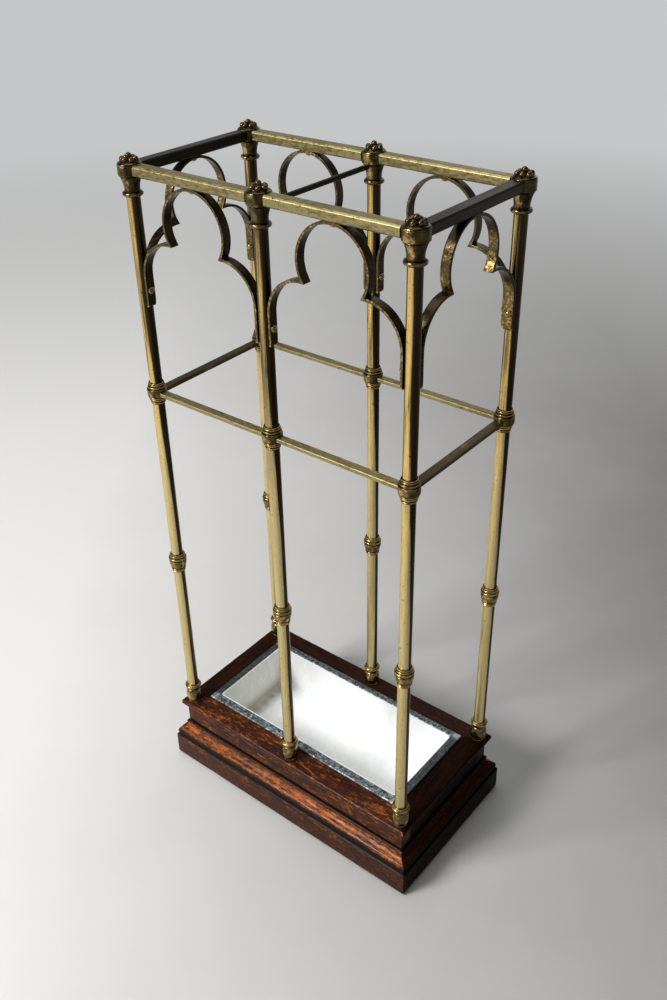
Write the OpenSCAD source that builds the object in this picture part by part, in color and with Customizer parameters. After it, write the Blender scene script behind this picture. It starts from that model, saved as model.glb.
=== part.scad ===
// Victorian stick and umbrella stand.
// Six brass tube posts with cusped arches rise from a moulded oak base,
// which holds a lift-out drip tray. Heights of post fittings count from the oak top.

/* [Stand] */
// Centre-to-centre width of one bay along the front
bay_w = 132; // [112:1:170]
// Centre-to-centre depth from the front posts to the back posts
bay_d = 134; // [112:1:170]
// Height of the oak base
base_h = 76; // [66:1:90]
// Height of the top rails' centre line above the oak
rail_z = 548; // [480:1:640]
// Height of the middle rails' centre line above the oak
mid_z = 359; // [300:1:400]
// Height of the lower collars' centre above the oak
collar_z = 179; // [120:1:240]

/* [Posts] */
// Outside diameter of the post tube
tube_d = 11; // [10:0.5:12]
// Wall of the post tube
tube_wall = 1.2; // [0.8:0.1:1.6]
// Diameter of the iron tie rod inside each post
rod_d = 4.8; // [4:0.1:5.2]
// Depth of the sockets that the tubes enter
socket_depth = 5; // [3:0.5:6]
// Diameter of the foot's ring
foot_d = 16.5; // [15.5:0.1:18]
// Height of the foot casting
foot_h = 23.5; // [21:0.5:30]
// Diameter of the collars and hubs at their band
band_d = 17.2; // [16:0.1:19]
// Height of the collars and hubs
band_h = 20; // [18:0.5:24]
// Diameter of the capital's drum
drum_d = 19.5; // [18.5:0.1:22]
// Height of the capital's flared neck, its ring included
neck_h = 16.5; // [15:0.5:20]
// Diameter of the finial's balls
ball_d = 4.9; // [4:0.1:6]

/* [Rails] */
// Width of the top rails
top_rail_w = 11.6; // [9:0.1:13]
// Height of the top rails
top_rail_h = 8.4; // [7:0.1:10]
// Chamfer along the edges of the top rails
top_rail_chamfer = 1.4; // [0.5:0.1:2]
// Width of the middle rails
mid_rail_w = 8; // [6:0.1:9]
// Height of the middle rails
mid_rail_h = 3.5; // [3:0.1:5]
// Diameter of the rod that joins the two middle posts
cross_rod_d = 4.3; // [3.5:0.1:5]
// Length of the pins and rod ends inside the castings
pin_len = 4; // [3:0.25:4.5]
// Diameter of the small hole in the chamfer of the right front rail
pin_hole_d = 2; // [1:0.1:2.5]
// Depth of the small hole
pin_hole_depth = 3; // [2:0.1:4]
// Distance of the small hole from the middle capital
pin_hole_x = 7.6; // [5:0.1:20]

/* [Arches] */
// Thickness of the arch strap
strap_t = 2.2; // [1.6:0.1:3]
// Width of the arch strap
strap_w = 8; // [6.5:0.1:9]
// Outer radius of the arch's upper lobe
crown_r = 32; // [28:0.5:36]
// Outer radius of the arch's side lobes
lobe_r = 32.5; // [26:0.5:36]
// Height of the upper lobe's centre above the cusps
cusp_drop = 14.7; // [11:0.1:18]
// Straight length of the legs below the side lobes
leg_len = 26; // [20:0.5:40]
// Height of the side screws above the ends of the legs
screw_rise = 13.5; // [10:0.5:18]
// Diameter of the screw shanks
screw_d = 3; // [2.4:0.1:3.2]
// Diameter of the round screw heads
screw_head_d = 6; // [5:0.1:6.4]
// Height of the round screw heads
screw_head_h = 2.4; // [1.8:0.1:2.8]

/* [Oak base] */
// Thickness of the boards around the top
top_t = 10; // [9:0.5:14]
// Reach of the top boards beyond the post axes
top_reach = 10; // [9.5:0.1:12]
// Reach of the upright boards beyond the post axes
board_reach = 5.5; // [5:0.1:6.5]
// Thickness of the upright boards
board_t = 14; // [12:0.5:18]
// Gap between the floor and the upright boards
board_lift = 8; // [7:0.5:10]
// Reach of the plinth moulding beyond the post axes
plinth_reach = 16.8; // [15.5:0.1:18]
// Height of the plinth moulding
plinth_h = 47; // [43:1:51]
// Thickness of the board under the tray
floor_t = 8.5; // [6:0.5:10]

/* [Drip tray] */
// Gap between the tray's rim and the ring of each foot, front and back
tray_side_gap = 2.75; // [1.5:0.25:6]
// Gap between the tray's rim and the feet at the ends
tray_end_gap = 3.75; // [1.5:0.25:8]
// Width of the rolled rim
rim_w = 8; // [6:0.5:10]
// Height of the rolled rim above the oak
rim_h = 3.4; // [2:0.1:5]
// Width of the rim that rests on the oak
rim_ledge = 5.5; // [4:0.5:6]
// Depth of the tray below the oak top
tray_depth = 50; // [30:1:52]
// Thickness of the tray's sheet
sheet_t = 1; // [0.6:0.1:1.5]
// Radius of the tray's corners
tray_corner_r = 2.5; // [2:0.5:6]

/* [Hidden] */

$fn = 64;
brass = "#b08d4a";
pale_brass = "#bda266";
oak = "#5b3020";
dark_oak = "#47251a";
iron = "#55524e";
zinc = "#8e9091";
enamel = "#efece2";

// Clearance of a rod in its bore
bore_gap = 0.3;
// Clearance of tubes and pins in their sockets
fit_gap = 0.05;
// Gap that lets boolean cuts pass through a face
cut = 1;
// Clearance between the tray's bottom and the board below it
tray_lift_gap = 0.5;
// Depth of the grooves that hold the bottom board
groove_depth = 5;
// Depth of the shallow cup round the tube in feet, collars and hubs
cup_depth = 1.2;

tube_r = tube_d / 2;
rod_r = rod_d / 2;
neck_r = tube_r + 0.6;
foot_r = foot_d / 2;
band_r = band_d / 2;
drum_r = drum_d / 2;
ball_r = ball_d / 2;

// Diameter of the pins on the ends of the rails
top_pin_d = min(top_rail_w, top_rail_h) - 3.4;
mid_pin_d = mid_rail_h - 0.9;

drum_bottom = rail_z - top_rail_h / 2 - 0.3;
drum_h = top_rail_h + 1.8;
drum_top = drum_bottom + drum_h;
cap_bottom = drum_bottom - neck_h;

// The finial's threaded boss goes down into the drum
boss_r = 3.6;
boss_len = 5;
rod_top = drum_top - 0.8;
cross_rod_z = drum_bottom - cross_rod_d / 2 + 0.6;

// Arch levels, with the crown against the underside of the top rail
arch_top = rail_z - top_rail_h / 2;
crown_z = arch_top - crown_r;
cusp_z = crown_z - cusp_drop;
lobe_z = cusp_z - lobe_r;
leg_bottom = lobe_z - leg_len;
side_screw_z = leg_bottom + screw_rise;
screw_grip = 2.4;
crown_grip = 4.5;

// Nut and washer under the upright boards
washer_r = 5;
washer_t = 1;
nut_flats = 8;
nut_t = 3.6;
rod_end_z = board_lift - washer_t - nut_t - 0.8;

// Half sizes of the tray, from the posts inward
rim_x = bay_w - foot_r - tray_end_gap;
rim_y = bay_d / 2 - foot_r - tray_side_gap;
liner_x = rim_x - rim_w;
liner_y = rim_y - rim_w;
well_x = rim_x - rim_ledge;
well_y = rim_y - rim_ledge;
tray_bottom = base_h - tray_depth;
floor_top = tray_bottom - tray_lift_gap;

// Faces of the upright boards
board_x = bay_w + board_reach;
board_y = bay_d / 2 + board_reach;
board_top = base_h - top_t;

// Points along an arc from angle a0 to angle a1
function arc(cx, cy, r, a0, a1, steps = 8) =
    [for (i = [0:steps]) let (a = a0 + (a1 - a0) * i / steps) [cx + r * cos(a), cy + r * sin(a)]];

// Half-round bead of radius r and height h, from its lower edge to its upper edge
function bead(z, r, h) = arc(r - h / 2, z, h / 2, -90, 90, 6);

// Directions in which rails and arches leave a post
function rail_dirs(ix, iy) = concat(
    ix < 2 ? [0] : [],
    ix > 0 ? [180] : [],
    ix != 1 ? [iy == 0 ? 90 : -90] : []
);

// Place children on the oak top at a post of column ix and row iy
module at_post(ix, iy) {
    translate([(ix - 1) * bay_w, (iy - 0.5) * bay_d, base_h])
        children();
}

module at_every_post() {
    for (ix = [0:2], iy = [0:1])
        at_post(ix, iy) children();
}

module turned(profile) {
    rotate_extrude()
        polygon(profile);
}

// Hole or pin along +X, from r0 to r1, at height z, turned to a direction
module spoke(dir, z, d, r0, r1) {
    rotate([0, 0, dir])
        translate([r0, 0, z])
            rotate([0, 90, 0])
                cylinder(h = r1 - r0, d = d);
}

// Bore for the tie rod over a height
module rod_bore(z0, z1) {
    translate([0, 0, z0 - cut])
        cylinder(h = z1 - z0 + 2 * cut, r = rod_r + bore_gap);
}

module tube_socket(z0, z1) {
    translate([0, 0, z0])
        cylinder(h = z1 - z0, r = tube_r + fit_gap);
}

// One length of post tube
module tube(z0, z1) {
    difference() {
        translate([0, 0, z0])
            cylinder(h = z1 - z0, r = tube_r);
        translate([0, 0, z0 - cut])
            cylinder(h = z1 - z0 + 2 * cut, r = tube_r - tube_wall);
    }
}

// Three lengths of tube, which end inside the castings
module post_tubes(ix, iy) {
    color(pale_brass)
        at_post(ix, iy) {
            tube(foot_h - socket_depth, collar_z - band_h / 2 + socket_depth);
            tube(collar_z + band_h / 2 - socket_depth, mid_z - band_h / 2 + socket_depth);
            difference() {
                tube(mid_z + band_h / 2 - socket_depth, cap_bottom + socket_depth);
                for (dir = rail_dirs(ix, iy))
                    spoke(dir, side_screw_z, screw_d + 2 * fit_gap, rod_r, tube_r + cut);
            }
        }
}

// Turned foot with a bulb, a waist and a cupped ring
module foot() {
    bulb_z = 0.34 * foot_h;
    bulb_r = foot_r - 0.25;
    bulb_depth = 2.9;
    ring_h = 0.14 * foot_h;
    ring_z = foot_h - 0.5 - ring_h / 2;
    cup_z = foot_h - cup_depth;
    difference() {
        turned(concat(
            [[0, 0], [bulb_r - bulb_depth * (1 - cos(50)), 0]],
            [for (a = [-50:12.5:75]) [bulb_r - bulb_depth * (1 - cos(a)), bulb_z * (1 + sin(a))]],
            [[neck_r + 0.2, ring_z - ring_h / 2 - 2.4], [neck_r + 0.5, ring_z - ring_h / 2 - 1]],
            bead(ring_z, foot_r, ring_h),
            [[foot_r - 1.9, foot_h], [neck_r + 0.4, foot_h], [neck_r, cup_z], [0, cup_z]]
        ));
        rod_bore(0, foot_h);
        tube_socket(foot_h - socket_depth, foot_h + cut);
    }
}

module post_feet() {
    color(brass)
        at_every_post()
            foot();
}

// Bores of a collar or hub for the rod and for the tubes above and below it
module band_bores(z) {
    rod_bore(z - band_h / 2, z + band_h / 2);
    tube_socket(z - band_h / 2 - cut, z - band_h / 2 + socket_depth);
    tube_socket(z + band_h / 2 - socket_depth, z + band_h / 2 + cut);
}

// Lower collar, a bowl with small steps below it and two beads above it
module collar() {
    u = band_h / 20;
    bowl_r = 18 * u;
    bowl_edge = band_r - 0.3;
    difference() {
        translate([0, 0, collar_z])
            turned(concat(
                [[0, -10 * u], [neck_r - 0.2, -10 * u]],
                bead(-9.2 * u, neck_r + 0.3, 0.9 * u),
                bead(-8 * u, neck_r + 0.6, 1.2 * u),
                bead(-6.5 * u, neck_r + 0.9, 1.4 * u),
                arc(bowl_edge - bowl_r, 2.2 * u, bowl_r, -24, 0),
                [[bowl_edge, 2.8 * u], [bowl_edge - 0.9, 3.2 * u]],
                bead(4.8 * u, band_r - 0.05, 2.6 * u),
                bead(7.4 * u, band_r - 0.95, 2.2 * u),
                [[neck_r + 0.9, 8.7 * u], [neck_r + 0.7, 10 * u]],
                [[neck_r + 0.4, 10 * u], [neck_r, 10 * u - cup_depth], [0, 10 * u - cup_depth]]
            ));
        band_bores(collar_z);
    }
}

module post_collars() {
    color(brass)
        at_every_post()
            collar();
}

// Middle hub, with holes for the pins of the middle rails
module mid_hub(ix, iy) {
    u = band_h / 20;
    color(brass)
        at_post(ix, iy)
            difference() {
                translate([0, 0, mid_z])
                    turned(concat(
                        [[0, -10 * u], [neck_r - 0.2, -10 * u]],
                        bead(-8.7 * u, neck_r + 0.4, 1.2 * u),
                        [[neck_r, -7.8 * u], [neck_r, -7.4 * u]],
                        bead(-6 * u, band_r - 1.4, 2.2 * u),
                        bead(-3.9 * u, band_r - 0.7, 1.6 * u),
                        [[band_r - 1.1, -2.9 * u], [band_r - 0.4, -2.6 * u], [band_r, -2.2 * u]],
                        [[band_r, 3.6 * u], [band_r - 0.4, 4 * u], [band_r - 1.4, 4.4 * u]],
                        bead(5.8 * u, band_r - 0.8, 2.4 * u),
                        bead(8 * u, band_r - 1.5, 2 * u),
                        [[neck_r + 0.5, 9.2 * u], [neck_r + 0.5, 10 * u]],
                        [[neck_r + 0.3, 10 * u], [neck_r, 10 * u - cup_depth], [0, 10 * u - cup_depth]]
                    ));
                band_bores(mid_z);
                for (dir = rail_dirs(ix, iy))
                    spoke(dir, mid_z, mid_pin_d + 2 * fit_gap, band_r - pin_len, band_r + cut);
            }
}

// Capital, with a ring, a flared neck and the drum that the top rails meet
module capital(ix, iy) {
    ring_h = 3.6;
    ring_z = cap_bottom + 0.6 + ring_h / 2;
    flare_bottom = ring_z + ring_h / 2 + 0.3;
    flare_rise = drum_bottom - 1 - flare_bottom;
    flare_out = drum_r - 0.85 - neck_r;
    flare_r = (flare_rise * flare_rise + flare_out * flare_out) / (2 * flare_out);
    shoulder = 2.4;
    color(brass)
        at_post(ix, iy)
            difference() {
                turned(concat(
                    [[0, cap_bottom], [neck_r, cap_bottom]],
                    bead(ring_z, foot_r, ring_h),
                    arc(neck_r + flare_r, flare_bottom, flare_r, 180, 180 - asin(flare_rise / flare_r)),
                    [[drum_r - 1.3, drum_bottom - 0.6], [drum_r - 1.3, drum_bottom]],
                    [[drum_r - 0.4, drum_bottom], [drum_r, drum_bottom + 0.4]],
                    arc(drum_r - shoulder, drum_top - shoulder, shoulder, 0, 90, 6),
                    [[0, drum_top]]
                ));
                rod_bore(cap_bottom, drum_top);
                tube_socket(cap_bottom - cut, cap_bottom + socket_depth);
                translate([0, 0, drum_top - boss_len])
                    cylinder(h = boss_len + cut, r = boss_r + fit_gap);
                for (dir = rail_dirs(ix, iy))
                    spoke(dir, rail_z, top_pin_d + 2 * fit_gap, drum_r - pin_len, drum_r + cut);
                if (ix == 1)
                    spoke(90 - 180 * iy, cross_rod_z, cross_rod_d + 2 * fit_gap, drum_r - pin_len, drum_r + cut);
            }
}

// Finial, a ball raised over a ring of balls on a disc, with a boss that takes the rod
module finial() {
    disc_t = 0.9;
    ring_r = ball_d + 0.1;
    ring_z = drum_top + 1.45;
    top_ball_z = drum_top + 6.45 - ball_r;
    difference() {
        union() {
            translate([0, 0, drum_top])
                cylinder(h = disc_t, r = ring_r + 1.6);
            translate([0, 0, drum_top])
                cylinder(h = 2.6, r = ring_r - 1.4);
            for (a = [30:60:330])
                rotate([0, 0, a])
                    translate([ring_r, 0, ring_z])
                        intersection() {
                            sphere(r = ball_r);
                            translate([0, 0, ball_d / 2 - ring_z + drum_top])
                                cube(ball_d, center = true);
                        }
            translate([0, 0, top_ball_z])
                sphere(r = ball_r);
            translate([0, 0, drum_top - boss_len + fit_gap])
                cylinder(h = boss_len, r = boss_r);
        }
        translate([0, 0, drum_top - boss_len - cut])
            cylinder(h = rod_top - drum_top + boss_len + cut, r = rod_r + fit_gap);
    }
}

module finials() {
    color(brass)
        at_every_post()
            finial();
}

// Iron rod from the nut under the boards to the finial
module tie_rods() {
    color(iron)
        at_every_post()
            translate([0, 0, rod_end_z - base_h])
                cylinder(h = rod_top + base_h - rod_end_z, r = rod_r);
}

// Washer and hexagon nut under the upright boards, one pair on each rod
module rod_nuts() {
    color(iron)
        at_every_post()
            translate([0, 0, board_lift - base_h]) {
                difference() {
                    translate([0, 0, -washer_t])
                        cylinder(h = washer_t, r = washer_r);
                    rod_bore(-washer_t, 0);
                }
                translate([0, 0, -washer_t - fit_gap - nut_t])
                    difference() {
                        cylinder(h = nut_t, r = nut_flats / 2 / cos(30), $fn = 6);
                        translate([0, 0, -cut])
                            cylinder(h = nut_t + 2 * cut, r = rod_r + fit_gap);
                    }
            }
}

// Section of a top rail, a bar with chamfered edges
module top_rail_section() {
    x = top_rail_w / 2;
    y = top_rail_h / 2;
    c = top_rail_chamfer;
    polygon([[-x, c - y], [c - x, -y], [x - c, -y], [x, c - y], [x, y - c], [x - c, y], [c - x, y], [-x, y - c]]);
}

// Bar between two posts along +X, its ends scribed to round castings and pinned into them
module bar(span, z, cast_r, pin_d) {
    difference() {
        translate([0, 0, z])
            rotate([90, 0, 90])
                linear_extrude(height = span)
                    children();
        for (x = [0, span])
            translate([x, 0, z - 20])
                cylinder(h = 40, r = cast_r + fit_gap);
    }
    for (end = [0, 1])
        translate([end * span, 0, 0])
            spoke(end * 180, z, pin_d, cast_r - pin_len, cast_r + 3);
}

// Place a piece drawn along +X so that it runs from one post to the next
module between_posts(ix, iy, along_depth = false) {
    at_post(ix, iy)
        rotate([0, 0, along_depth ? 90 : 0])
            children();
}

module top_rail(ix, iy, along_depth = false, with_pin_hole = false) {
    span = along_depth ? bay_d : bay_w;
    color(brass)
        between_posts(ix, iy, along_depth)
            difference() {
                bar(span, rail_z, drum_r, top_pin_d) top_rail_section();
                translate([span / 2, 0, arch_top - cut])
                    cylinder(h = crown_grip + cut, d = screw_d + 2 * fit_gap);
                if (with_pin_hole)
                    translate([drum_r + pin_hole_x, -top_rail_w / 2, rail_z + top_rail_h / 2])
                        rotate([45, 0, 0])
                            cylinder(h = 2 * pin_hole_depth, d = pin_hole_d, center = true);
            }
}

module mid_rail(ix, iy, along_depth = false) {
    span = along_depth ? bay_d : bay_w;
    color(brass)
        between_posts(ix, iy, along_depth)
            bar(span, mid_z, band_r, mid_pin_d) square([mid_rail_w, mid_rail_h], center = true);
}

// Rod between the two middle posts, just under the drums of their capitals
module cross_rod() {
    color(brass)
        at_post(1, 0)
            spoke(90, cross_rod_z, cross_rod_d, drum_r - pin_len, bay_d - drum_r + pin_len);
}

// Outline of the arch's opening, drawn in by an inset: a round lobe over two side lobes and the legs
module arch_opening(span, inset) {
    leg_x = span / 2 - tube_r;
    lobe_x = leg_x - lobe_r;
    floor_z = inset > 0 ? leg_bottom - cut : leg_bottom;
    translate([0, crown_z])
        circle(r = crown_r - inset);
    for (side = [-1, 1])
        translate([side * lobe_x, lobe_z])
            circle(r = lobe_r - inset);
    translate([-lobe_x, floor_z])
        square([2 * lobe_x, cusp_z - inset - floor_z]);
    translate([inset - leg_x, floor_z])
        square([2 * (leg_x - inset), lobe_z - floor_z]);
}

// Outline of the strap between the opening and the same opening drawn in by its thickness
module arch_outline(span) {
    intersection() {
        difference() {
            arch_opening(span, 0);
            arch_opening(span, strap_t);
        }
        translate([-span / 2, leg_bottom])
            square([span, arch_top - leg_bottom + cut]);
    }
}

// Cusped arch of flat strap, with a filed seat for its crown screw and holes for all three
module arch(ix, iy, along_depth = false) {
    span = along_depth ? bay_d : bay_w;
    hole_d = screw_d + 2 * fit_gap;
    color(brass)
        between_posts(ix, iy, along_depth)
            translate([span / 2, 0, 0])
                difference() {
                    translate([0, strap_w / 2, 0])
                        rotate([90, 0, 0])
                            linear_extrude(height = strap_w)
                                arch_outline(span);
                    translate([0, 0, arch_top - strap_t - cut])
                        cylinder(h = strap_t + 2 * cut, d = hole_d);
                    translate([0, 0, arch_top - strap_t - cut])
                        cylinder(h = cut, d = screw_head_d + 2 * fit_gap);
                    translate([-span / 2, 0, side_screw_z])
                        rotate([0, 90, 0])
                            cylinder(h = span, d = hole_d);
                }
}

// Round-headed slotted screw, its head below z = 0 and its shank above
module screw(grip) {
    difference() {
        union() {
            turned(concat(
                [[0, 0]],
                [for (i = [0:8]) [screw_head_d / 2 * cos(i * 90 / 8), -screw_head_h * sin(i * 90 / 8)]]
            ));
            cylinder(h = grip, d = screw_d);
        }
        translate([0, 0, -screw_head_h])
            cube([screw_head_d + cut, 0.8, screw_head_h * 0.9], center = true);
    }
}

module arch_crown_screws() {
    head_z = arch_top - strap_t;
    color(brass) {
        for (ix = [0:1], iy = [0:1])
            between_posts(ix, iy)
                translate([bay_w / 2, 0, head_z])
                    screw(strap_t + crown_grip);
        for (ix = [0, 2])
            between_posts(ix, 0, true)
                translate([bay_d / 2, 0, head_z])
                    screw(strap_t + crown_grip);
    }
}

module arch_side_screws() {
    color(brass)
        for (ix = [0:2], iy = [0:1], dir = rail_dirs(ix, iy))
            at_post(ix, iy)
                rotate([0, 0, dir])
                    translate([tube_r + strap_t, 0, side_screw_z])
                        rotate([0, -90, 0])
                            screw(strap_t + screw_grip);
}

// Turn a board drawn for the front to the side named by its quarter turns
module on_side(turns) {
    rotate([0, 0, turns * 90])
        children();
}

// Half length from post axis to post axis along a side, and the other half size
function half_along(turns) = turns % 2 == 0 ? bay_w : bay_d / 2;
function half_across(turns) = turns % 2 == 0 ? bay_d / 2 : bay_w;

// Mitred length of moulding, its section given as reach beyond the post axes and height
module mitred(turns, inner, outer) {
    along = half_along(turns);
    across = half_across(turns);
    intersection() {
        translate([-along - outer - cut, 0, 0])
            rotate([90, 0, 90])
                linear_extrude(height = 2 * (along + outer + cut))
                    translate([-across, 0])
                        mirror([1, 0])
                            children();
        translate([0, 0, -cut])
            linear_extrude(height = base_h + 2 * cut)
                polygon([
                    [-along - outer, -across - outer], [along + outer, -across - outer],
                    [along + inner[0], -across - inner[1]], [-along - inner[0], -across - inner[1]]
                ]);
    }
}

// Section of the top boards, with a rounded nose over a cove
module top_board_section(inner) {
    nose = 2;
    cove = top_reach - board_reach;
    polygon(concat(
        [[inner, base_h], [inner, board_top], [board_reach, board_top]],
        arc(board_reach + cove, board_top, cove, 180, 105),
        [[top_reach - 0.3, board_top + cove + 0.3]],
        arc(top_reach - nose, base_h - nose, nose, 0, 90, 6)
    ));
}

// Board around the tray's well, mitred at its corners
module top_frame(turns) {
    inner = turns % 2 == 0 ? [well_x - bay_w, well_y - bay_d / 2] : [well_y - bay_d / 2, well_x - bay_w];
    color(oak)
        difference() {
            on_side(turns)
                mitred(turns, inner, top_reach)
                    top_board_section(inner[1]);
            at_every_post()
                rod_bore(-top_t, 0);
        }
}

// Section of the plinth moulding, a fillet and an ogee over an upright face with a rounded foot
module plinth_section() {
    fillet = 2;
    foot_round = 4;
    swell_r = 5.7;
    cove_r = 6.3;
    swell_x = plinth_reach - 1.4 - swell_r;
    swell_z = plinth_h - 15;
    cove_x = board_reach + 1.4 + cove_r;
    polygon(concat(
        [[board_reach, 0]],
        arc(plinth_reach - foot_round, foot_round, foot_round, 270, 360, 6),
        [[plinth_reach, swell_z - 4.8], [plinth_reach - 0.6, swell_z - 3.6], [plinth_reach - 1.9, swell_z - 3]],
        [[plinth_reach - 2, swell_z - 2], [plinth_reach - 1.5, swell_z - 1.4]],
        arc(swell_x, swell_z, swell_r, 0, 80),
        arc(cove_x, plinth_h - 3, cove_r, 232, 180),
        [[board_reach + fillet, plinth_h - fillet], [board_reach + fillet, plinth_h], [board_reach, plinth_h]]
    ));
}

module plinth(turns) {
    color(dark_oak)
        on_side(turns)
            mitred(turns, [board_reach, board_reach], plinth_reach)
                plinth_section();
}

// Long boards of the box, front and back, which the rods pass through
module side_board_long(turns) {
    color(oak)
        difference() {
            on_side(turns)
                translate([-board_x, -board_y, board_lift])
                    cube([2 * board_x, board_t, board_top - board_lift]);
            bottom_board_block();
            at_every_post()
                rod_bore(board_lift - base_h, board_top - base_h);
        }
}

// Short boards of the box, between the long ones
module side_board_short(turns) {
    color(oak)
        difference() {
            on_side(turns)
                translate([board_t - board_y, -board_x, board_lift])
                    cube([2 * (board_y - board_t), board_t, board_top - board_lift]);
            bottom_board_block();
        }
}

module bottom_board_block() {
    x = board_x - board_t + groove_depth;
    y = board_y - board_t + groove_depth;
    translate([-x, -y, floor_top - floor_t])
        cube([2 * x, 2 * y, floor_t]);
}

module bottom_board() {
    color(dark_oak)
        bottom_board_block();
}

// Rectangle with rounded corners, from its half sizes
module round_rect(x, y, r) {
    for (sx = [-1, 1], sy = [-1, 1])
        translate([sx * (x - r), sy * (y - r)])
            circle(r = r);
    square([2 * x, 2 * (y - r)], center = true);
    square([2 * (x - r), 2 * y], center = true);
}

// Enamelled pan, open at the top
module tray_liner() {
    pan_top = base_h + rim_h - 0.6;
    color(enamel)
        difference() {
            translate([0, 0, tray_bottom])
                linear_extrude(height = pan_top - tray_bottom)
                    round_rect(liner_x, liner_y, tray_corner_r);
            translate([0, 0, tray_bottom + sheet_t])
                linear_extrude(height = pan_top)
                    round_rect(liner_x - sheet_t, liner_y - sheet_t, tray_corner_r - sheet_t);
        }
}

// Rolled rim around the pan, which hangs the tray on the oak
module tray_rim() {
    step = 1.1;
    color(zinc)
        difference() {
            union() {
                translate([0, 0, base_h])
                    linear_extrude(height = rim_h - step)
                        round_rect(rim_x, rim_y, tray_corner_r);
                translate([0, 0, base_h])
                    linear_extrude(height = rim_h)
                        round_rect(rim_x - step, rim_y - step, tray_corner_r - step);
            }
            translate([0, 0, base_h - cut])
                linear_extrude(height = rim_h + 2 * cut)
                    round_rect(liner_x, liner_y, tray_corner_r);
        }
}

top_frame(0);  // top_frame_front
top_frame(1);  // top_frame_right
top_frame(2);  // top_frame_back
top_frame(3);  // top_frame_left
side_board_long(0);  // side_board_front
side_board_short(1);  // side_board_right
side_board_long(2);  // side_board_back
side_board_short(3);  // side_board_left
plinth(0);  // plinth_front
plinth(1);  // plinth_right
plinth(2);  // plinth_back
plinth(3);  // plinth_left
bottom_board();
tray_liner();
tray_rim();
post_feet();
post_collars();
finials();
tie_rods();
rod_nuts();
post_tubes(0, 0);  // post_tubes_front_left
post_tubes(1, 0);  // post_tubes_front_mid
post_tubes(2, 0);  // post_tubes_front_right
post_tubes(0, 1);  // post_tubes_back_left
post_tubes(1, 1);  // post_tubes_back_mid
post_tubes(2, 1);  // post_tubes_back_right
mid_hub(0, 0);  // mid_hub_front_left
mid_hub(1, 0);  // mid_hub_front_mid
mid_hub(2, 0);  // mid_hub_front_right
mid_hub(0, 1);  // mid_hub_back_left
mid_hub(1, 1);  // mid_hub_back_mid
mid_hub(2, 1);  // mid_hub_back_right
capital(0, 0);  // capital_front_left
capital(1, 0);  // capital_front_mid
capital(2, 0);  // capital_front_right
capital(0, 1);  // capital_back_left
capital(1, 1);  // capital_back_mid
capital(2, 1);  // capital_back_right
mid_rail(0, 0);  // mid_rail_front_left
mid_rail(1, 0);  // mid_rail_front_right
mid_rail(0, 1);  // mid_rail_back_left
mid_rail(1, 1);  // mid_rail_back_right
mid_rail(0, 0, true);  // mid_rail_left_end
mid_rail(2, 0, true);  // mid_rail_right_end
top_rail(0, 0);  // top_rail_front_left
top_rail(1, 0, false, true);  // top_rail_front_right
top_rail(0, 1);  // top_rail_back_left
top_rail(1, 1);  // top_rail_back_right
top_rail(0, 0, true);  // top_rail_left_end
top_rail(2, 0, true);  // top_rail_right_end
cross_rod();
arch(0, 0);  // arch_front_left
arch(1, 0);  // arch_front_right
arch(0, 1);  // arch_back_left
arch(1, 1);  // arch_back_right
arch(0, 0, true);  // arch_left_end
arch(2, 0, true);  // arch_right_end
arch_crown_screws();
arch_side_screws();
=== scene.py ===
import math

import bmesh
import bpy
import numpy as np
from bmesh.types import BMEdge, BMFace, BMVert
from bpy.props import FloatProperty, FloatVectorProperty, PointerProperty
from bpy.types import Operator, Panel, PropertyGroup
from mathutils import Matrix, Vector, noise


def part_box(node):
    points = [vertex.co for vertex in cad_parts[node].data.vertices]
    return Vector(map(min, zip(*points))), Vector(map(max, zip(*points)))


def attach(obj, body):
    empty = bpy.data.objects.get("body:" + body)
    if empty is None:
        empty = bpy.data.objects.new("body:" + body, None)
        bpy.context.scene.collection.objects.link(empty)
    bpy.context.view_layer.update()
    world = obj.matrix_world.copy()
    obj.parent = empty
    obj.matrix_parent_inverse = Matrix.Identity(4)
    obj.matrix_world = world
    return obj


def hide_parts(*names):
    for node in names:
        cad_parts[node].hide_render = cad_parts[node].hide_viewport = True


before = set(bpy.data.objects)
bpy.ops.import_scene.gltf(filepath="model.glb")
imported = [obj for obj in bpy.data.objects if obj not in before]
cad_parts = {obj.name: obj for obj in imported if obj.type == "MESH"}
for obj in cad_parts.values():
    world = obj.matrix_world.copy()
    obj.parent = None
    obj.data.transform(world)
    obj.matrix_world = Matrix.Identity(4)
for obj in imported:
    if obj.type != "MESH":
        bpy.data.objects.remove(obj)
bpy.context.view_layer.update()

bl_info = {
    "name": "Brass and Oak Stick Stand",
    "version": (1, 0, 0),
    "blender": (4, 5, 0),
    "location": "View3D > Sidebar > Stick Stand",
    "description": "Dresses a packed stick stand in aged brass, moulded oak, zinc and enamel",
    "category": "Object",
}

# Millimetre in metres, for sections and profiles
MM = 0.001

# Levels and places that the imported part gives
OAK_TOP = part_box("top_frame_front")[1][2]
POST_NAMES = ["front_left", "front_mid", "front_right", "back_left", "back_mid", "back_right"]


def middle(node):
    """Centre of a node's box."""
    low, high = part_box(node)
    return Vector([(a + b) / 2 for a, b in zip(low, high)])


POSTS = {name: Vector((*middle("capital_" + name).xy, OAK_TOP)) for name in POST_NAMES}
BAY_W = POSTS["front_right"].x
BAY_D = 2 * POSTS["back_right"].y
BAYS = {
    "front_left": ("front_left", "front_mid"), "front_right": ("front_mid", "front_right"),
    "back_left": ("back_left", "back_mid"), "back_right": ("back_mid", "back_right"),
    "left_end": ("front_left", "back_left"), "right_end": ("front_right", "back_right"),
}

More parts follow.
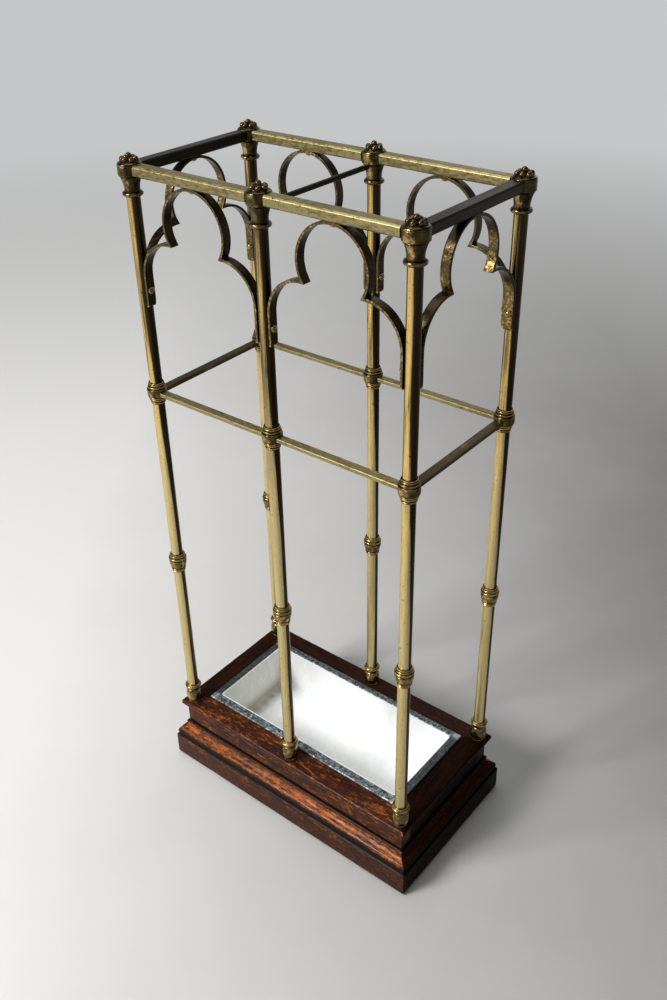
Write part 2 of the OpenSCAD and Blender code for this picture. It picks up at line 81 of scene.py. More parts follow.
# Heights above the oak in millimetres
FOOT_TOP = 23.5
COLLAR_Z = 179
HUB_Z = 359
CAP_BOTTOM = 527
DRUM_TOP = 553.7
RAIL_Z = 548
ARCH_TOP = 543.8
SCREW_Z = 452.1
CROSS_Z = 541.95

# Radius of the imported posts, where the arches and their screws meet them, in millimetres
POST_R = 5.5

# Heights above the oak, in metres, where the brass of the posts begins to pale and where it is all pale,
# partly a painted reflection of the bright floor
PALE_FROM = 0.46
PALE_BELOW = 0.30

# Dark lines, painted shade in the plinth's quirk and on and under its swell's lower half, and dirt in the
# joint at the frieze's foot; the swell's upper band, painted light where light catches it and partly rubbed,
# with where it fades out; all in metres above the floor
SHADE_AND_DIRT_LINES = ((0.0276, 0.0338), (0.0432, 0.0442), (0.0461, 0.0486))
LIT_AND_RUBBED_SWELL = (0.0362, 0.0425)
LIT_AND_RUBBED_SWELL_FADE = (0.0345, 0.0440)

# How dark the castings of each place on the posts are, how bright their edges, and how much painted shade
# darkens their faces towards the stand's ends
CAST_TARNISH_AND_SHADE = {"low": (0.1, 0.9, 0.28), "middle": (0.3, 0.8, 0.75), "top": (0.45, 0.6, 0.9),
                "finials": (0.9, 0.12, 0.7)}

# Sides of the base, how far the stain is worn off the boards of each, and how deep the colour is there,
# partly a darker finish and partly painted shade on the sides turned from the light
SIDES = ("front", "right", "back", "left")
BOARD_WEAR = {"front": 1.0, "right": 0.15, "back": 0.3, "left": 0.25}
BOARD_DEPTH_AND_SHADE = {"front": 1.0, "right": 0.27, "back": 0.6, "left": 0.5}

# Pale colour of the backdrop, and the dim one overhead
BACKDROP = (0.56, 0.565, 0.57)
OVERHEAD = (0.09, 0.09, 0.10)

# Place of each lamp, its width in metres, its power in watts and its colour
LAMPS = {
    "key": ((-1.25, -2.6, 2.35), 1.1, 135, (1.0, 0.99, 0.975)),
    "sky": ((-0.3, 0.0, 2.4), 1.6, 24, (0.97, 0.985, 1.0)),
    "fill": ((1.9, -1.2, 1.3), 1.6, 2, (0.94, 0.97, 1.0)),
    "back": ((-0.9, 3.4, 2.6), 2.0, 10, (1.0, 1.0, 1.0)),
}

# Place of the camera, its azimuth, elevation and roll in degrees, and its lens in millimetres
CAMERA_PLACE = (0.482594, -0.586017, 0.827885)
CAMERA_ANGLES = (39.0835, 32.7139, -1.1654)
CAMERA_LENS = 36.657


# Sizes that a user would change

class StandSizes(PropertyGroup):
    """Sizes of the stand's visible parts"""
    tube: FloatProperty(name="Tube", description="Radius of the post tubes", default=0.0055, unit="LENGTH")
    rail_width: FloatProperty(name="Rail width", description="Width of a top rail",
                              default=0.0116, unit="LENGTH")
    rail_height: FloatProperty(name="Rail height", description="Height of a top rail",
                               default=0.0084, unit="LENGTH")
    rail_chamfer: FloatProperty(name="Rail chamfer", description="Chamfer on a top rail's edges",
                                default=0.0014, unit="LENGTH")
    strap: FloatProperty(name="Strap", description="Thickness of the arches' strap",
                         default=0.0022, unit="LENGTH")
    strap_width: FloatProperty(name="Strap width", description="Width of the arches' strap",
                               default=0.008, unit="LENGTH")
    mitre_gap: FloatProperty(name="Mitre gap", description="Open joint at a board's mitre",
                             default=0.00012, unit="LENGTH")


class StandFinishes(PropertyGroup):
    """Colours of the stand's finishes"""
    brass: FloatVectorProperty(name="Brass", description="Rubbed brass", subtype="COLOR",
                               default=(0.68, 0.46, 0.16), min=0, max=1)
    # Pale brass low on the posts, partly matt brass and partly a painted reflection of the bright floor
    pale: FloatVectorProperty(name="Pale brass", description="Brass gone matt low on the posts",
                              subtype="COLOR", default=(0.74, 0.61, 0.30), min=0, max=1)
    olive: FloatVectorProperty(name="Olive brass", description="Brass under a thin tarnish", subtype="COLOR",
                               default=(0.20, 0.15, 0.058), min=0, max=1)
    tarnish: FloatVectorProperty(name="Tarnish", description="Dark tarnish in grooves", subtype="COLOR",
                                 default=(0.020, 0.014, 0.008), min=0, max=1)
    oak: FloatVectorProperty(name="Oak", description="Stained oak", subtype="COLOR",
                             default=(0.066, 0.0150, 0.0045), min=0, max=1)
    oak_dark: FloatVectorProperty(name="Dark oak", description="Stain gathered in the grain", subtype="COLOR",
                                  default=(0.008, 0.0035, 0.002), min=0, max=1)
    oak_worn: FloatVectorProperty(name="Worn oak", description="Oak where the stain is worn", subtype="COLOR",
                                  default=(0.56, 0.145, 0.018), min=0, max=1)
    zinc: FloatVectorProperty(name="Zinc", description="Dull zinc", subtype="COLOR",
                              default=(0.21, 0.245, 0.26), min=0, max=1)
    enamel: FloatVectorProperty(name="Enamel", description="White enamel", subtype="COLOR",
                                default=(0.91, 0.925, 0.93), min=0, max=1)
    iron: FloatVectorProperty(name="Iron", description="Plain iron", subtype="COLOR",
                              default=(0.09, 0.085, 0.08), min=0, max=1)
    floor: FloatVectorProperty(name="Floor", description="Plain studio floor", subtype="COLOR",
                               default=(0.74, 0.735, 0.72), min=0, max=1)
    # Painted shade: the floor's colour away from the key lamp
    shade: FloatVectorProperty(name="Floor in shade", description="Floor away from the light",
                               subtype="COLOR", default=(0.22, 0.216, 0.21), min=0, max=1)


# Profiles in millimetres

def arc(across, up, radius, start, end, steps=10):
    """Points of an arc, its angles in degrees from the outward direction."""
    angles = [math.radians(start + (end - start) * i / steps) for i in range(steps + 1)]
    return [(across + radius * math.cos(a), up + radius * math.sin(a)) for a in angles]


def bead(up, reach, thick, steps=8):
    """Half-round bead round a turned profile."""
    return arc(reach - thick / 2, up, thick / 2, -90, 90, steps)


# Shapes

def whole_of(shape):
    """Every point, edge and face of a shape."""
    return shape.verts[:] + shape.edges[:] + shape.faces[:]


def picked(parts, kind):
    """Parts of one kind."""
    return [part for part in parts if isinstance(part, kind)]


def close(shape):
    """Merges doubled points and turns every face outwards."""
    bmesh.ops.remove_doubles(shape, verts=shape.verts, dist=1e-6)
    bmesh.ops.recalc_face_normals(shape, faces=shape.faces)
    return shape


def turned(profile, steps=64):
    """Solid turned on the Z axis from a profile of reaches and heights."""
    shape = bmesh.new()
    points = [shape.verts.new((reach * MM, 0, height * MM)) for reach, height in profile]
    lines = [shape.edges.new(pair) for pair in zip(points, points[1:])]
    bmesh.ops.spin(shape, geom=points + lines, cent=(0, 0, 0), axis=(0, 0, 1), dvec=(0, 0, 0),
                   angle=2 * math.pi, steps=steps, use_merge=True)
    return close(shape)


def moved(shape, matrix):
    """Moves a whole shape."""
    bmesh.ops.transform(shape, matrix=matrix, verts=shape.verts)
    return shape


def raised(height):
    """Step up by a height in millimetres."""
    return Vector((0, 0, height * MM))


def at_place(place, turn):
    """Matrix of a turn about Z in radians and then a move."""
    return Matrix.Translation(place) @ Matrix.Rotation(turn, 4, "Z")


def at_posts(height=0.0):
    """Matrix of each post at a height above the oak, each with a turn of its own."""
    return {name: at_place(POSTS[name] + raised(height), turn) for turn, name in enumerate(POST_NAMES)}


def bay(name):
    """Length of a bay between its post axes, its turn about Z, and its middle on the oak."""
    one, two = (POSTS[post] for post in BAYS[name])
    run = two - one
    return run.length, math.atan2(run.y, run.x), (one + two) / 2


def copies(shape, matrices):
    """One shape of as many copies as there are matrices."""
    first = whole_of(shape)
    for matrix in matrices:
        made = bmesh.ops.duplicate(shape, geom=first)["geom"]
        bmesh.ops.transform(shape, matrix=matrix, verts=picked(made, BMVert))
    bmesh.ops.delete(shape, geom=picked(first, BMVert), context="VERTS")
    return shape


def sharp_edges(shape, angle=40):
    """Edges that bend more than an angle."""
    limit = math.radians(angle)
    return [e for e in shape.edges if len(e.link_faces) == 2 and e.calc_face_angle(0) > limit]


def bevel(shape, parts, offset, segments, affect="EDGES"):
    """Bevels some edges, or some corners where affect is VERTICES."""
    bmesh.ops.bevel(shape, geom=parts, offset=offset, offset_type="OFFSET", segments=segments, profile=0.5,
                    affect=affect, clamp_overlap=True, material=-1)


def ease(shape, offset, angle=40, segments=2):
    """Rounds a shape's sharp edges."""
    bevel(shape, sharp_edges(shape, angle), offset, segments)
    return shape


def roughen(shape, depth, size, shift=0.0):
    """Sinks soft hollows into a surface, and raises nothing above it."""
    shape.normal_update()
    step = Vector((shift, shift, shift))
    for point in shape.verts:
        point.co -= point.normal * depth * max(0.0, noise.noise(point.co * size + step))
    return shape


def held_in(shape, node):
    """Keeps every point inside a node's box."""
    low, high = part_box(node)
    for point in shape.verts:
        point.co = Vector([min(max(c, a), b) for c, a, b in zip(point.co, low, high)])
    return shape


def bar(length, width, height, chamfer, cuts=30):
    """Bar along X with chamfered and softened edges, its middle at the origin."""
    soft, flat = 0.28 * MM, 1.6 * MM
    shape = bmesh.new()
    bmesh.ops.create_cube(shape, size=1)
    bmesh.ops.scale(shape, vec=(length, width, height), verts=shape.verts)

    def lengthwise():
        return [e for e in shape.edges if abs(e.verts[0].co.x - e.verts[1].co.x) > length / 2]

    if chamfer:
        bevel(shape, lengthwise(), chamfer, 1)
    bevel(shape, lengthwise(), soft, 2)
    wide = [e for e in shape.edges if e not in set(lengthwise()) and e.calc_length() > flat]
    bmesh.ops.subdivide_edges(shape, edges=wide, cuts=5)
    bmesh.ops.subdivide_edges(shape, edges=lengthwise(), cuts=cuts)
    return close(shape)


def strap_arch(span, thick, width):
    """Cusped arch of strap in the XZ plane, its middle at X = 0, in millimetres above the oak.

    The crown stands on two lobes, whose tops lie below its centre by the cusps' drop. Each pair of points has
    one on the strap's outer face and its twin on the inner face, from a leg's tapered end to the middle.
    """
    lobe_r, crown_r, cusp_drop, leg_length = 32.5, 32.0, 14.7, 26
    leg_x = span / 2 - POST_R
    crown_z = ARCH_TOP - crown_r
    lobe_z = crown_z - cusp_drop - lobe_r
    lobe_x = leg_x - lobe_r
    leg_end = lobe_z - leg_length
    # The cusp's tip is where the inner faces of lobe and crown meet
    tip_z = lobe_z + lobe_r - thick
    tip_x = math.sqrt((crown_r - thick) ** 2 - (tip_z - crown_z) ** 2)
    pairs = [((leg_x, leg_end), (leg_x - 0.6 * thick, leg_end)),
             ((leg_x, leg_end + 1.2), (leg_x - 0.92 * thick, leg_end + 1.2))]
    pairs += [((leg_x, z), (leg_x - thick, z)) for z in np.linspace(leg_end + 3, lobe_z - 1.5, 8)]
    pairs += zip(*(arc(lobe_x, lobe_z, radius, 0, 90, 26) for radius in (lobe_r, lobe_r - thick)))
    notch_x = math.sqrt(crown_r ** 2 - cusp_drop ** 2)
    pairs.append(((notch_x, crown_z - cusp_drop), (tip_x, tip_z)))
    pairs += zip(*(arc(0, crown_z, radius, -20, 90, 34) for radius in (crown_r, crown_r - thick)))
    shape = bmesh.new()
    line = shape.edges.new([shape.verts.new((x * MM, 0, z * MM)) for x, z in pairs[0]])
    for pair in pairs[1:]:
        grown = bmesh.ops.extrude_edge_only(shape, edges=[line])["geom"]
        ends = line.verts[:]
        line = next(edge for edge in picked(grown, BMEdge) if not set(edge.verts) & set(ends))
        for end, (x, z) in zip(ends, pair):
            twin = next(e.other_vert(end) for e in end.link_edges
                        if e.other_vert(end) in line.verts and e.other_vert(end) not in ends)
            twin.co = (x * MM, 0, z * MM)
    bmesh.ops.mirror(shape, geom=whole_of(shape), matrix=Matrix.Identity(4), merge_dist=1e-6, axis="X")
    bmesh.ops.remove_doubles(shape, verts=shape.verts, dist=1e-6)
    grown = bmesh.ops.extrude_face_region(shape, geom=shape.faces[:], use_keep_orig=True)["geom"]
    bmesh.ops.translate(shape, vec=(0, width * MM, 0), verts=picked(grown, BMVert))
    bmesh.ops.translate(shape, vec=(0, -width / 2 * MM, 0), verts=shape.verts)
    close(shape)
    ease(shape, 0.5 * MM, 50, 3)
    wide = [e for e in shape.edges if abs(e.verts[0].co.y - e.verts[1].co.y) > 0.7 * width * MM]
    bmesh.ops.subdivide_edges(shape, edges=wide, cuts=7)
    return shape


def joined(shapes):
    """One shape from several."""
    whole = bmesh.new()
    for shape in shapes:
        mesh = bpy.data.meshes.new("part")
        shape.to_mesh(mesh)
        shape.free()
        whole.from_mesh(mesh)
        bpy.data.meshes.remove(mesh)
    return whole


def slotted_head(reach, rise, shank):
    """Round screw head with a slot, its flat side at Z = 0 and its shank above.

    The base takes up to the dome's fourth step, and the halves beside the slot overlap it by one step.
    """
    slot_half = 0.42 * MM
    dome = [(x * reach, z * rise) for x, z in arc(0, 0, 1, 0, -90, 18)]
    base = turned([(0, dome[4][1])] + dome[4::-1] + [(1.5, 0), (1.5, shank), (0, shank)], 32)
    halves = []
    for side in (-1, 1):
        half = turned(dome[3:] + [(0, dome[3][1])], 32)
        facing = Vector((0, side, 0))
        bmesh.ops.bisect_plane(half, geom=whole_of(half), dist=1e-7, plane_co=facing * slot_half,
                               plane_no=facing, clear_inner=True)
        bmesh.ops.holes_fill(half, edges=[e for e in half.edges if len(e.link_faces) == 1], sides=0)
        halves.append(close(half))
    return joined([base, *halves])


def moulding(section, along, across, inner, outer, quarter, cuts, gap):
    """Mitred length of a section on the side named by its quarter turns.

    The section holds reaches beyond the post axes and heights above the floor, in millimetres. The mitre runs
    from the inner corner to the outer one, given as reaches along and across. The length is drawn with some
    to spare, then cut back to a gap short of the mitre.
    """
    shape = bmesh.new()
    spare = 2
    half = (along + outer[0] + spare) * MM
    points = [shape.verts.new((-half, -(across + reach) * MM, height * MM)) for reach, height in section]
    for pair in zip(points, points[1:] + points[:1]):
        shape.edges.new(pair)
    first = shape.faces.new(points)
    grown = bmesh.ops.extrude_face_region(shape, geom=[first], use_keep_orig=True)["geom"]
    bmesh.ops.translate(shape, vec=(2 * half, 0, 0), verts=picked(grown, BMVert))
    run = Vector((outer[0] - inner[0], -(outer[1] - inner[1]), 0))
    for side in (-1, 1):
        spot = Vector((side * (along + outer[0]) * MM, -(across + outer[1]) * MM, 0))
        facing = Vector((side * -run.y, run.x, 0)).normalized()
        cut = bmesh.ops.bisect_plane(shape, geom=whole_of(shape), dist=1e-7, plane_co=spot - facing * gap,
                                     plane_no=facing, clear_outer=True)["geom_cut"]
        bmesh.ops.holes_fill(shape, edges=picked(cut, BMEdge), sides=0)
    long_edges = [e for e in shape.edges if abs(e.verts[0].co.x - e.verts[1].co.x) > half]
    bmesh.ops.subdivide_edges(shape, edges=long_edges, cuts=cuts)
    return moved(close(shape), Matrix.Rotation(quarter * math.pi / 2, 4, "Z"))


# Making a piece of the object from a shape

def note_wear(mesh, reach, passes=2):
    """Stores how far each point stands out as an edge, 1, or lies in a groove, 0, for the finishes."""
    count = len(mesh.vertices)
    place = np.empty(count * 3)
    mesh.vertices.foreach_get("co", place)
    facing = np.empty(count * 3)
    mesh.vertices.foreach_get("normal", facing)
    place, facing = place.reshape(-1, 3), facing.reshape(-1, 3)
    pairs = np.empty(len(mesh.edges) * 2, dtype=np.int32)
    mesh.edges.foreach_get("vertices", pairs)
    one, two = pairs.reshape(-1, 2).T
    step = place[one] - place[two]
    length = np.maximum(np.linalg.norm(step, axis=1), 1e-7)
    bend = ((facing[one] - facing[two]) * step).sum(axis=1) / length
    total, weight = np.zeros(count), np.full(count, 1e-9)
    for end in (one, two):
        np.add.at(total, end, bend)
        np.add.at(weight, end, length)
    wear = 0.5 + 0.5 * np.tanh(total / weight * reach)
    for _ in range(passes):
        near, links = wear.copy(), np.ones(count)
        np.add.at(near, one, wear[two])
        np.add.at(near, two, wear[one])
        np.add.at(links, one, 1)
        np.add.at(links, two, 1)
        wear = near / links
    layer = mesh.attributes.new("wear", "FLOAT", "POINT")
    layer.data.foreach_set("value", wear.astype(np.float32))


def piece(shape, name, body, finish, nodes, smooth=35, reach=0.0012):
    """Makes a mesh object of a shape, dresses it and ties it to the frame."""
    mesh = bpy.data.meshes.new(name)
    shape.to_mesh(mesh)
    shape.free()
    mesh.shade_smooth()
    mesh.set_sharp_from_angle(angle=math.radians(smooth))
    note_wear(mesh, reach)
    mesh.materials.append(finish)
    made = bpy.data.objects.new(name, mesh)
    bpy.context.scene.collection.objects.link(made)
    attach(made, body)
    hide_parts(*nodes)
    return made


# Finishes

def fill(tree, node, sockets):
    """Links or sets some of a node's sockets."""
    for key, value in sockets.items():
        if isinstance(value, bpy.types.NodeSocket):
            tree.links.new(value, node.inputs[key])
        else:
            node.inputs[key].default_value = value


def put(tree, kind, sockets=None, **settings):
    """Adds a node, sets it and fills its sockets."""
    made = tree.nodes.new(kind)
    for key, value in settings.items():
        setattr(made, key, value)
    fill(tree, made, sockets or {})
    return made


def axes(tree, vector):
    """Outputs for the X, Y and Z of a vector."""
    return put(tree, "ShaderNodeSeparateXYZ", {0: vector}).outputs


def rgba(colour):
    """Colour with full alpha."""
    return (*colour, 1.0)


def scaled(colour, factor):
    """Colour made brighter or darker."""
    return tuple(factor * part for part in colour)


def blended(tree, factor, one, two):
    """Colour mixed from one to two."""
    one, two = (value if isinstance(value, bpy.types.NodeSocket) else rgba(value) for value in (one, two))
    return put(tree, "ShaderNodeMix", {0: factor, 6: one, 7: two}, data_type="RGBA").outputs[2]


def ranged(tree, value, low, high, to_low=0.0, to_high=1.0):
    """Value stretched from one range to another and clamped."""
    return put(tree, "ShaderNodeMapRange", {"Value": value, "From Min": low, "From Max": high,
                                            "To Min": to_low, "To Max": to_high}).outputs[0]


def worked(tree, operation, one, two=0.0):
    """Result of one operation on values."""
    return put(tree, "ShaderNodeMath", {0: one, 1: two}, operation=operation).outputs[0]


def plus(tree, one, two):
    """Sum of two values."""
    return worked(tree, "ADD", one, two)


def times(tree, one, two):
    """Product of two values."""
    return worked(tree, "MULTIPLY", one, two)


def band(tree, value, inner, outer):
    """1 between the inner limits of a value, fading to 0 at the outer limits."""
    return times(tree, ranged(tree, value, outer[0], inner[0]), ranged(tree, value, outer[1], inner[1]))


def cloud(tree, place, scale, detail=4.0, rough=0.55, stretch=(1, 1, 1), shift=0.0):
    """Noise in metres, stretched along an axis by a small scale there."""
    mapped = put(tree, "ShaderNodeMapping", {"Vector": place, "Scale": stretch,
                                             "Location": (shift, shift, shift)}).outputs[0]
    return put(tree, "ShaderNodeTexNoise", {"Vector": mapped, "Scale": scale, "Detail": detail,
                                            "Roughness": rough}).outputs[0]


def new_finish(name):
    """Empty material with its shader, its object coordinates and its wear."""
    finish = bpy.data.materials.new(name)
    finish.use_nodes = True
    tree = finish.node_tree
    tree.nodes.clear()
    shader = put(tree, "ShaderNodeBsdfPrincipled")
    put(tree, "ShaderNodeOutputMaterial", {"Surface": shader.outputs[0]})
    place = put(tree, "ShaderNodeTexCoord").outputs["Object"]
    return finish, tree, shader, place


def wear_of(tree):
    """Wear kept on the mesh."""
    return put(tree, "ShaderNodeAttribute", attribute_name="wear").outputs["Fac"]


def bumped(tree, shader, heights):
    """Chains bumps, each a height and its depth in metres."""
    normal = None
    for height, depth in heights:
        sockets = {"Height": height, "Distance": depth, "Strength": 1.0}
        if normal:
            sockets["Normal"] = normal
        normal = put(tree, "ShaderNodeBump", sockets).outputs[0]
    tree.links.new(normal, shader.inputs["Normal"])


def aged_brass(name, rubbed, rough, drawn=(1, 1, 1), spots=0.5, shift=0.0, veil=0.0, edges=0.9, paler=False,
               sides=0.0, mark=230, tone=None):
    """Brass with a thin tarnish, dark in its grooves and rubbed bright on its edges.

    Rubbed, from 0 to 1, is how much of the tarnish is gone, and veil how dark the rest is. Drawn stretches
    the marks along an axis, and mark is how fine the patches are. Spots is how dark the flecks are, and
    edges how bright the edges. Paler takes the gloss off the lower half of a post and makes it paler, partly
    a painted reflection of the bright floor, with less painted shade there. Sides is how dark the brass is
    painted where it faces the ends of the stand, a painted shade. Tone is a colour in place of rubbed brass.
    """
    colours = bpy.context.scene.stand_finishes
    finish, tree, shader, place = new_finish(name)
    wear = wear_of(tree)
    bright = tone or colours.brass
    broad = cloud(tree, place, 30, 5, 0.6, drawn, shift)
    patches = cloud(tree, place, mark, 6, 0.65, drawn, shift + 3)
    fine = cloud(tree, place, 1500, 5, 0.7, drawn, shift + 5)
    flecks = cloud(tree, place, 420, 3, 0.6, (1, 1, 1), shift + 9)
    gone = plus(tree, times(tree, broad, 0.45), times(tree, patches, 0.55))
    gone = ranged(tree, gone, 0.64 - 0.3 * rubbed, 0.73 - 0.3 * rubbed)
    colour = blended(tree, gone, colours.olive, bright)
    if veil:
        dark = ranged(tree, patches, 0.40, 0.62, veil, 0.55 * veil + 0.45 * veil ** 6)
        colour = blended(tree, dark, colour, colours.tarnish)
    dull = ranged(tree, patches, 0.3, 0.75, rough - 0.05, rough + 0.12)
    # Painted shade: how squarely each point faces the long sides, for darkening the faces towards the ends
    facing = worked(tree, "ABSOLUTE", axes(tree, put(tree, "ShaderNodeTexCoord").outputs["Normal"])[1])
    facing = plus(tree, facing, times(tree, patches, 0.3))
    # Lower on a post: matt brass painted paler, partly a painted reflection of the bright floor, with less
    # painted shade
    if paler:
        low = plus(tree, axes(tree, place)[2], times(tree, broad, 0.12))
        low = ranged(tree, low, OAK_TOP + PALE_FROM, OAK_TOP + PALE_BELOW)
        colour = blended(tree, times(tree, low, 0.75), colour, colours.pale)
        dull = plus(tree, dull, times(tree, low, 0.22))
        facing = plus(tree, facing, times(tree, low, 0.55))
    # Painted shade on the faces towards the ends of the stand
    if sides:
        dark = ranged(tree, facing, 1.01, 1.12, sides, 0.0)
        colour = blended(tree, dark, colour, scaled(colours.tarnish, 1.2))
    brown = [(dark + olive) / 2 for dark, olive in zip(colours.tarnish, colours.olive)]
    colour = blended(tree, ranged(tree, patches, 0.58, 0.76, 0.0, 0.3), colour, brown)
    colour = blended(tree, ranged(tree, fine, 0.5, 0.75, 0.0, 0.35), colour, colours.tarnish)
    groove = ranged(tree, wear, 0.30, 0.48, 0.95, 0.0)
    colour = blended(tree, groove, colour, scaled(colours.tarnish, 0.6))
    fleck = ranged(tree, flecks, 0.64, 0.70, 0.0, spots)
    colour = blended(tree, fleck, colour, colours.tarnish)
    edge = times(tree, ranged(tree, wear, 0.62, 0.85), ranged(tree, patches, 0.35, 0.6, 0.5 * edges, edges))
    colour = blended(tree, edge, colour, scaled(bright, 1.1))
    dull = plus(tree, dull, times(tree, plus(tree, groove, fleck), 0.25))
    fill(tree, shader, {"Base Color": colour, "Metallic": 1.0, "Roughness": dull})
    bumped(tree, shader, [(patches, 0.0001), (fine, 0.00003), (flecks, 0.00005)])
    return finish


def stained_oak(name, along, worn, depth=1.0, shift=0.0, moulded=False, carried=False):
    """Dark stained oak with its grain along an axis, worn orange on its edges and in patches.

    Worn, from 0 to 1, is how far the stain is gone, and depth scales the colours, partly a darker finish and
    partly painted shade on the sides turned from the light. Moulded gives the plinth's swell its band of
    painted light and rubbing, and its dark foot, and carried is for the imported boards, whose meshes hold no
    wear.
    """
    colours = bpy.context.scene.stand_finishes
    tones = (colours.oak, colours.oak_dark, colours.oak_worn)
    oak, oak_dark, oak_worn = (scaled(tone, depth) for tone in tones)
    finish, tree, shader, place = new_finish(name)
    stretch = {"x": (0.07, 1, 1), "y": (1, 0.07, 1), "z": (1, 1, 0.07)}[along]
    loose = tuple(0.4 if s < 1 else 1 for s in stretch)
    grain = cloud(tree, place, 260, 8, 0.62, stretch, shift)
    pores = cloud(tree, place, 1300, 4, 0.6, stretch, shift + 2)
    bands = cloud(tree, place, 70, 4, 0.6, stretch, shift + 4)
    patches = cloud(tree, place, 110, 8, 0.72, loose, shift + 6)
    chips = cloud(tree, place, 430, 6, 0.68, loose, shift + 8)
    colour = blended(tree, ranged(tree, grain, 0.36, 0.62), oak_dark, oak)
    colour = blended(tree, ranged(tree, bands, 0.42, 0.66, 0.0, 0.45 * worn), colour, scaled(oak, 1.7))
    mottle = plus(tree, times(tree, patches, 0.5), times(tree, chips, 0.5))
    bare = ranged(tree, mottle, 0.62 - 0.11 * worn, 0.69 - 0.10 * worn, 0, 0.3 + 0.45 * worn)
    colour = blended(tree, times(tree, bare, ranged(tree, grain, 0.3, 0.6, 0.25, 0.95)), colour, oak_worn)
    height = axes(tree, place)[2]
    if moulded:
        # The swell's upper band: painted light where light catches it, orange as worn oak, partly real
        # rubbing
        lit_and_rubbed_swell = band(tree, height, LIT_AND_RUBBED_SWELL, LIT_AND_RUBBED_SWELL_FADE)
        lit_and_rubbed_swell = times(tree, lit_and_rubbed_swell, ranged(tree, mottle, 0.43, 0.53, 0.12, 0.12 + 0.5 * worn))
        colour = blended(tree, lit_and_rubbed_swell, colour, oak_worn)
        colour = blended(tree, ranged(tree, height, 0.026, 0.016, 0.0, 0.55), colour, scaled(oak, 0.75))
    if not carried:
        wear = wear_of(tree)
        edge = times(tree, ranged(tree, wear, 0.64, 0.86),
                     ranged(tree, chips, 0.42, 0.56, 0.1, 0.3 + 0.65 * worn))
        colour = blended(tree, edge, colour, scaled(oak_worn, 1.3))
        colour = blended(tree, ranged(tree, wear, 0.30, 0.47, 0.97, 0.0), colour, scaled(oak_dark, 0.4))
    # Dark lines: painted shade in the quirk and on and under the swell, and dirt in the joint at the frieze's
    # foot
    for low, high in SHADE_AND_DIRT_LINES:
        line = band(tree, height, (low, high), (low - 0.0004, high + 0.0004))
        colour = blended(tree, times(tree, line, 0.93), colour, scaled(oak_dark, 0.3))
    colour = blended(tree, ranged(tree, pores, 0.52, 0.60, 0.0, 0.85), colour, oak_dark)
    specks = cloud(tree, place, 620, 5, 0.7, loose, shift + 11)
    colour = blended(tree, ranged(tree, specks, 0.53, 0.60, 0.0, 0.85), colour, scaled(oak_dark, 0.7))
    fill(tree, shader, {"Base Color": colour, "Roughness": ranged(tree, patches, 0.3, 0.7, 0.36, 0.58),
                        "Coat Weight": (0.1 if moulded else 0.12) * depth ** 2, "Coat Roughness": 0.12,
                        "Specular IOR Level": 0.12 * depth})
    bumped(tree, shader, [(grain, 0.00018), (pores, -0.0001), (chips, 0.00016), (specks, -0.00014)])
    return finish


def dull_zinc(name):
    """Zinc gone grey, with dark blotches, dark ends, bright rubbing and pale solder at the corners."""
    grey = bpy.context.scene.stand_finishes.zinc
    finish, tree, shader, place = new_finish(name)
    wear = wear_of(tree)
    broad = cloud(tree, place, 60, 5, 0.6)
    blotch = cloud(tree, place, 330, 6, 0.68, shift=2)
    fine = cloud(tree, place, 1700, 4, 0.65, shift=4)
    colour = blended(tree, ranged(tree, broad, 0.35, 0.65), scaled(grey, 0.5), grey)
    colour = blended(tree, ranged(tree, blotch, 0.51, 0.58, 0, 0.85), colour, scaled(grey, 0.12))
    colour = blended(tree, ranged(tree, blotch, 0.45, 0.38, 0, 0.8), colour, scaled(grey, 2.3))
    colour = blended(tree, ranged(tree, fine, 0.55, 0.62, 0, 0.45), colour, scaled(grey, 0.2))
    out_x, out_y = (worked(tree, "ABSOLUTE", reach) for reach in axes(tree, place)[:2])
    colour = blended(tree, ranged(tree, out_x, 0.1105, 0.1125, 0, 0.7), colour, scaled(grey, 0.22))
    corner = times(tree, ranged(tree, out_x, 0.111, 0.114), ranged(tree, out_y, 0.047, 0.050))
    solder = times(tree, corner, ranged(tree, blotch, 0.42, 0.52, 0, 0.8))
    colour = blended(tree, solder, colour, scaled(grey, 2.6))
    colour = blended(tree, ranged(tree, wear, 0.66, 0.9, 0, 0.8), colour, scaled(grey, 2.3))
    fill(tree, shader, {"Base Color": colour, "Metallic": 0.8,
                        "Roughness": ranged(tree, blotch, 0.3, 0.7, 0.38, 0.66)})
    bumped(tree, shader, [(blotch, 0.00025), (fine, 0.00006)])
    return finish


def old_enamel(name):
    """White enamel with a cream film, a brown band at the foot of its left wall, and specks."""
    white = bpy.context.scene.stand_finishes.enamel
    dimmer, cream = (0.86, 0.87, 0.85), (0.80, 0.79, 0.64)
    brown, dark = (0.30, 0.27, 0.19), (0.12, 0.09, 0.05)
    finish, tree, shader, place = new_finish(name)
    broad = cloud(tree, place, 26, 5, 0.6)
    specks = cloud(tree, place, 520, 3, 0.5, shift=3)
    runs = cloud(tree, place, 90, 5, 0.65, (1, 1, 0.3), 5)
    left, _, height = axes(tree, place)
    colour = blended(tree, ranged(tree, broad, 0.4, 0.7, 0, 0.5), white, dimmer)
    foot = ranged(tree, height, OAK_TOP - 0.046, OAK_TOP - 0.034, 0.9, 0.0)
    foot = times(tree, foot, ranged(tree, left, -0.094, -0.104))
    colour = blended(tree, times(tree, foot, ranged(tree, runs, 0.35, 0.6, 0.45, 1.0)), colour, brown)
    colour = blended(tree, times(tree, ranged(tree, left, -0.106, -0.1095), 0.35), colour, cream)
    colour = blended(tree, ranged(tree, specks, 0.74, 0.77, 0, 0.8), colour, dark)
    fill(tree, shader, {"Base Color": colour, "Roughness": ranged(tree, runs, 0.3, 0.7, 0.16, 0.34)})
    bumped(tree, shader, [(broad, 0.0004), (specks, 0.00003)])
    return finish


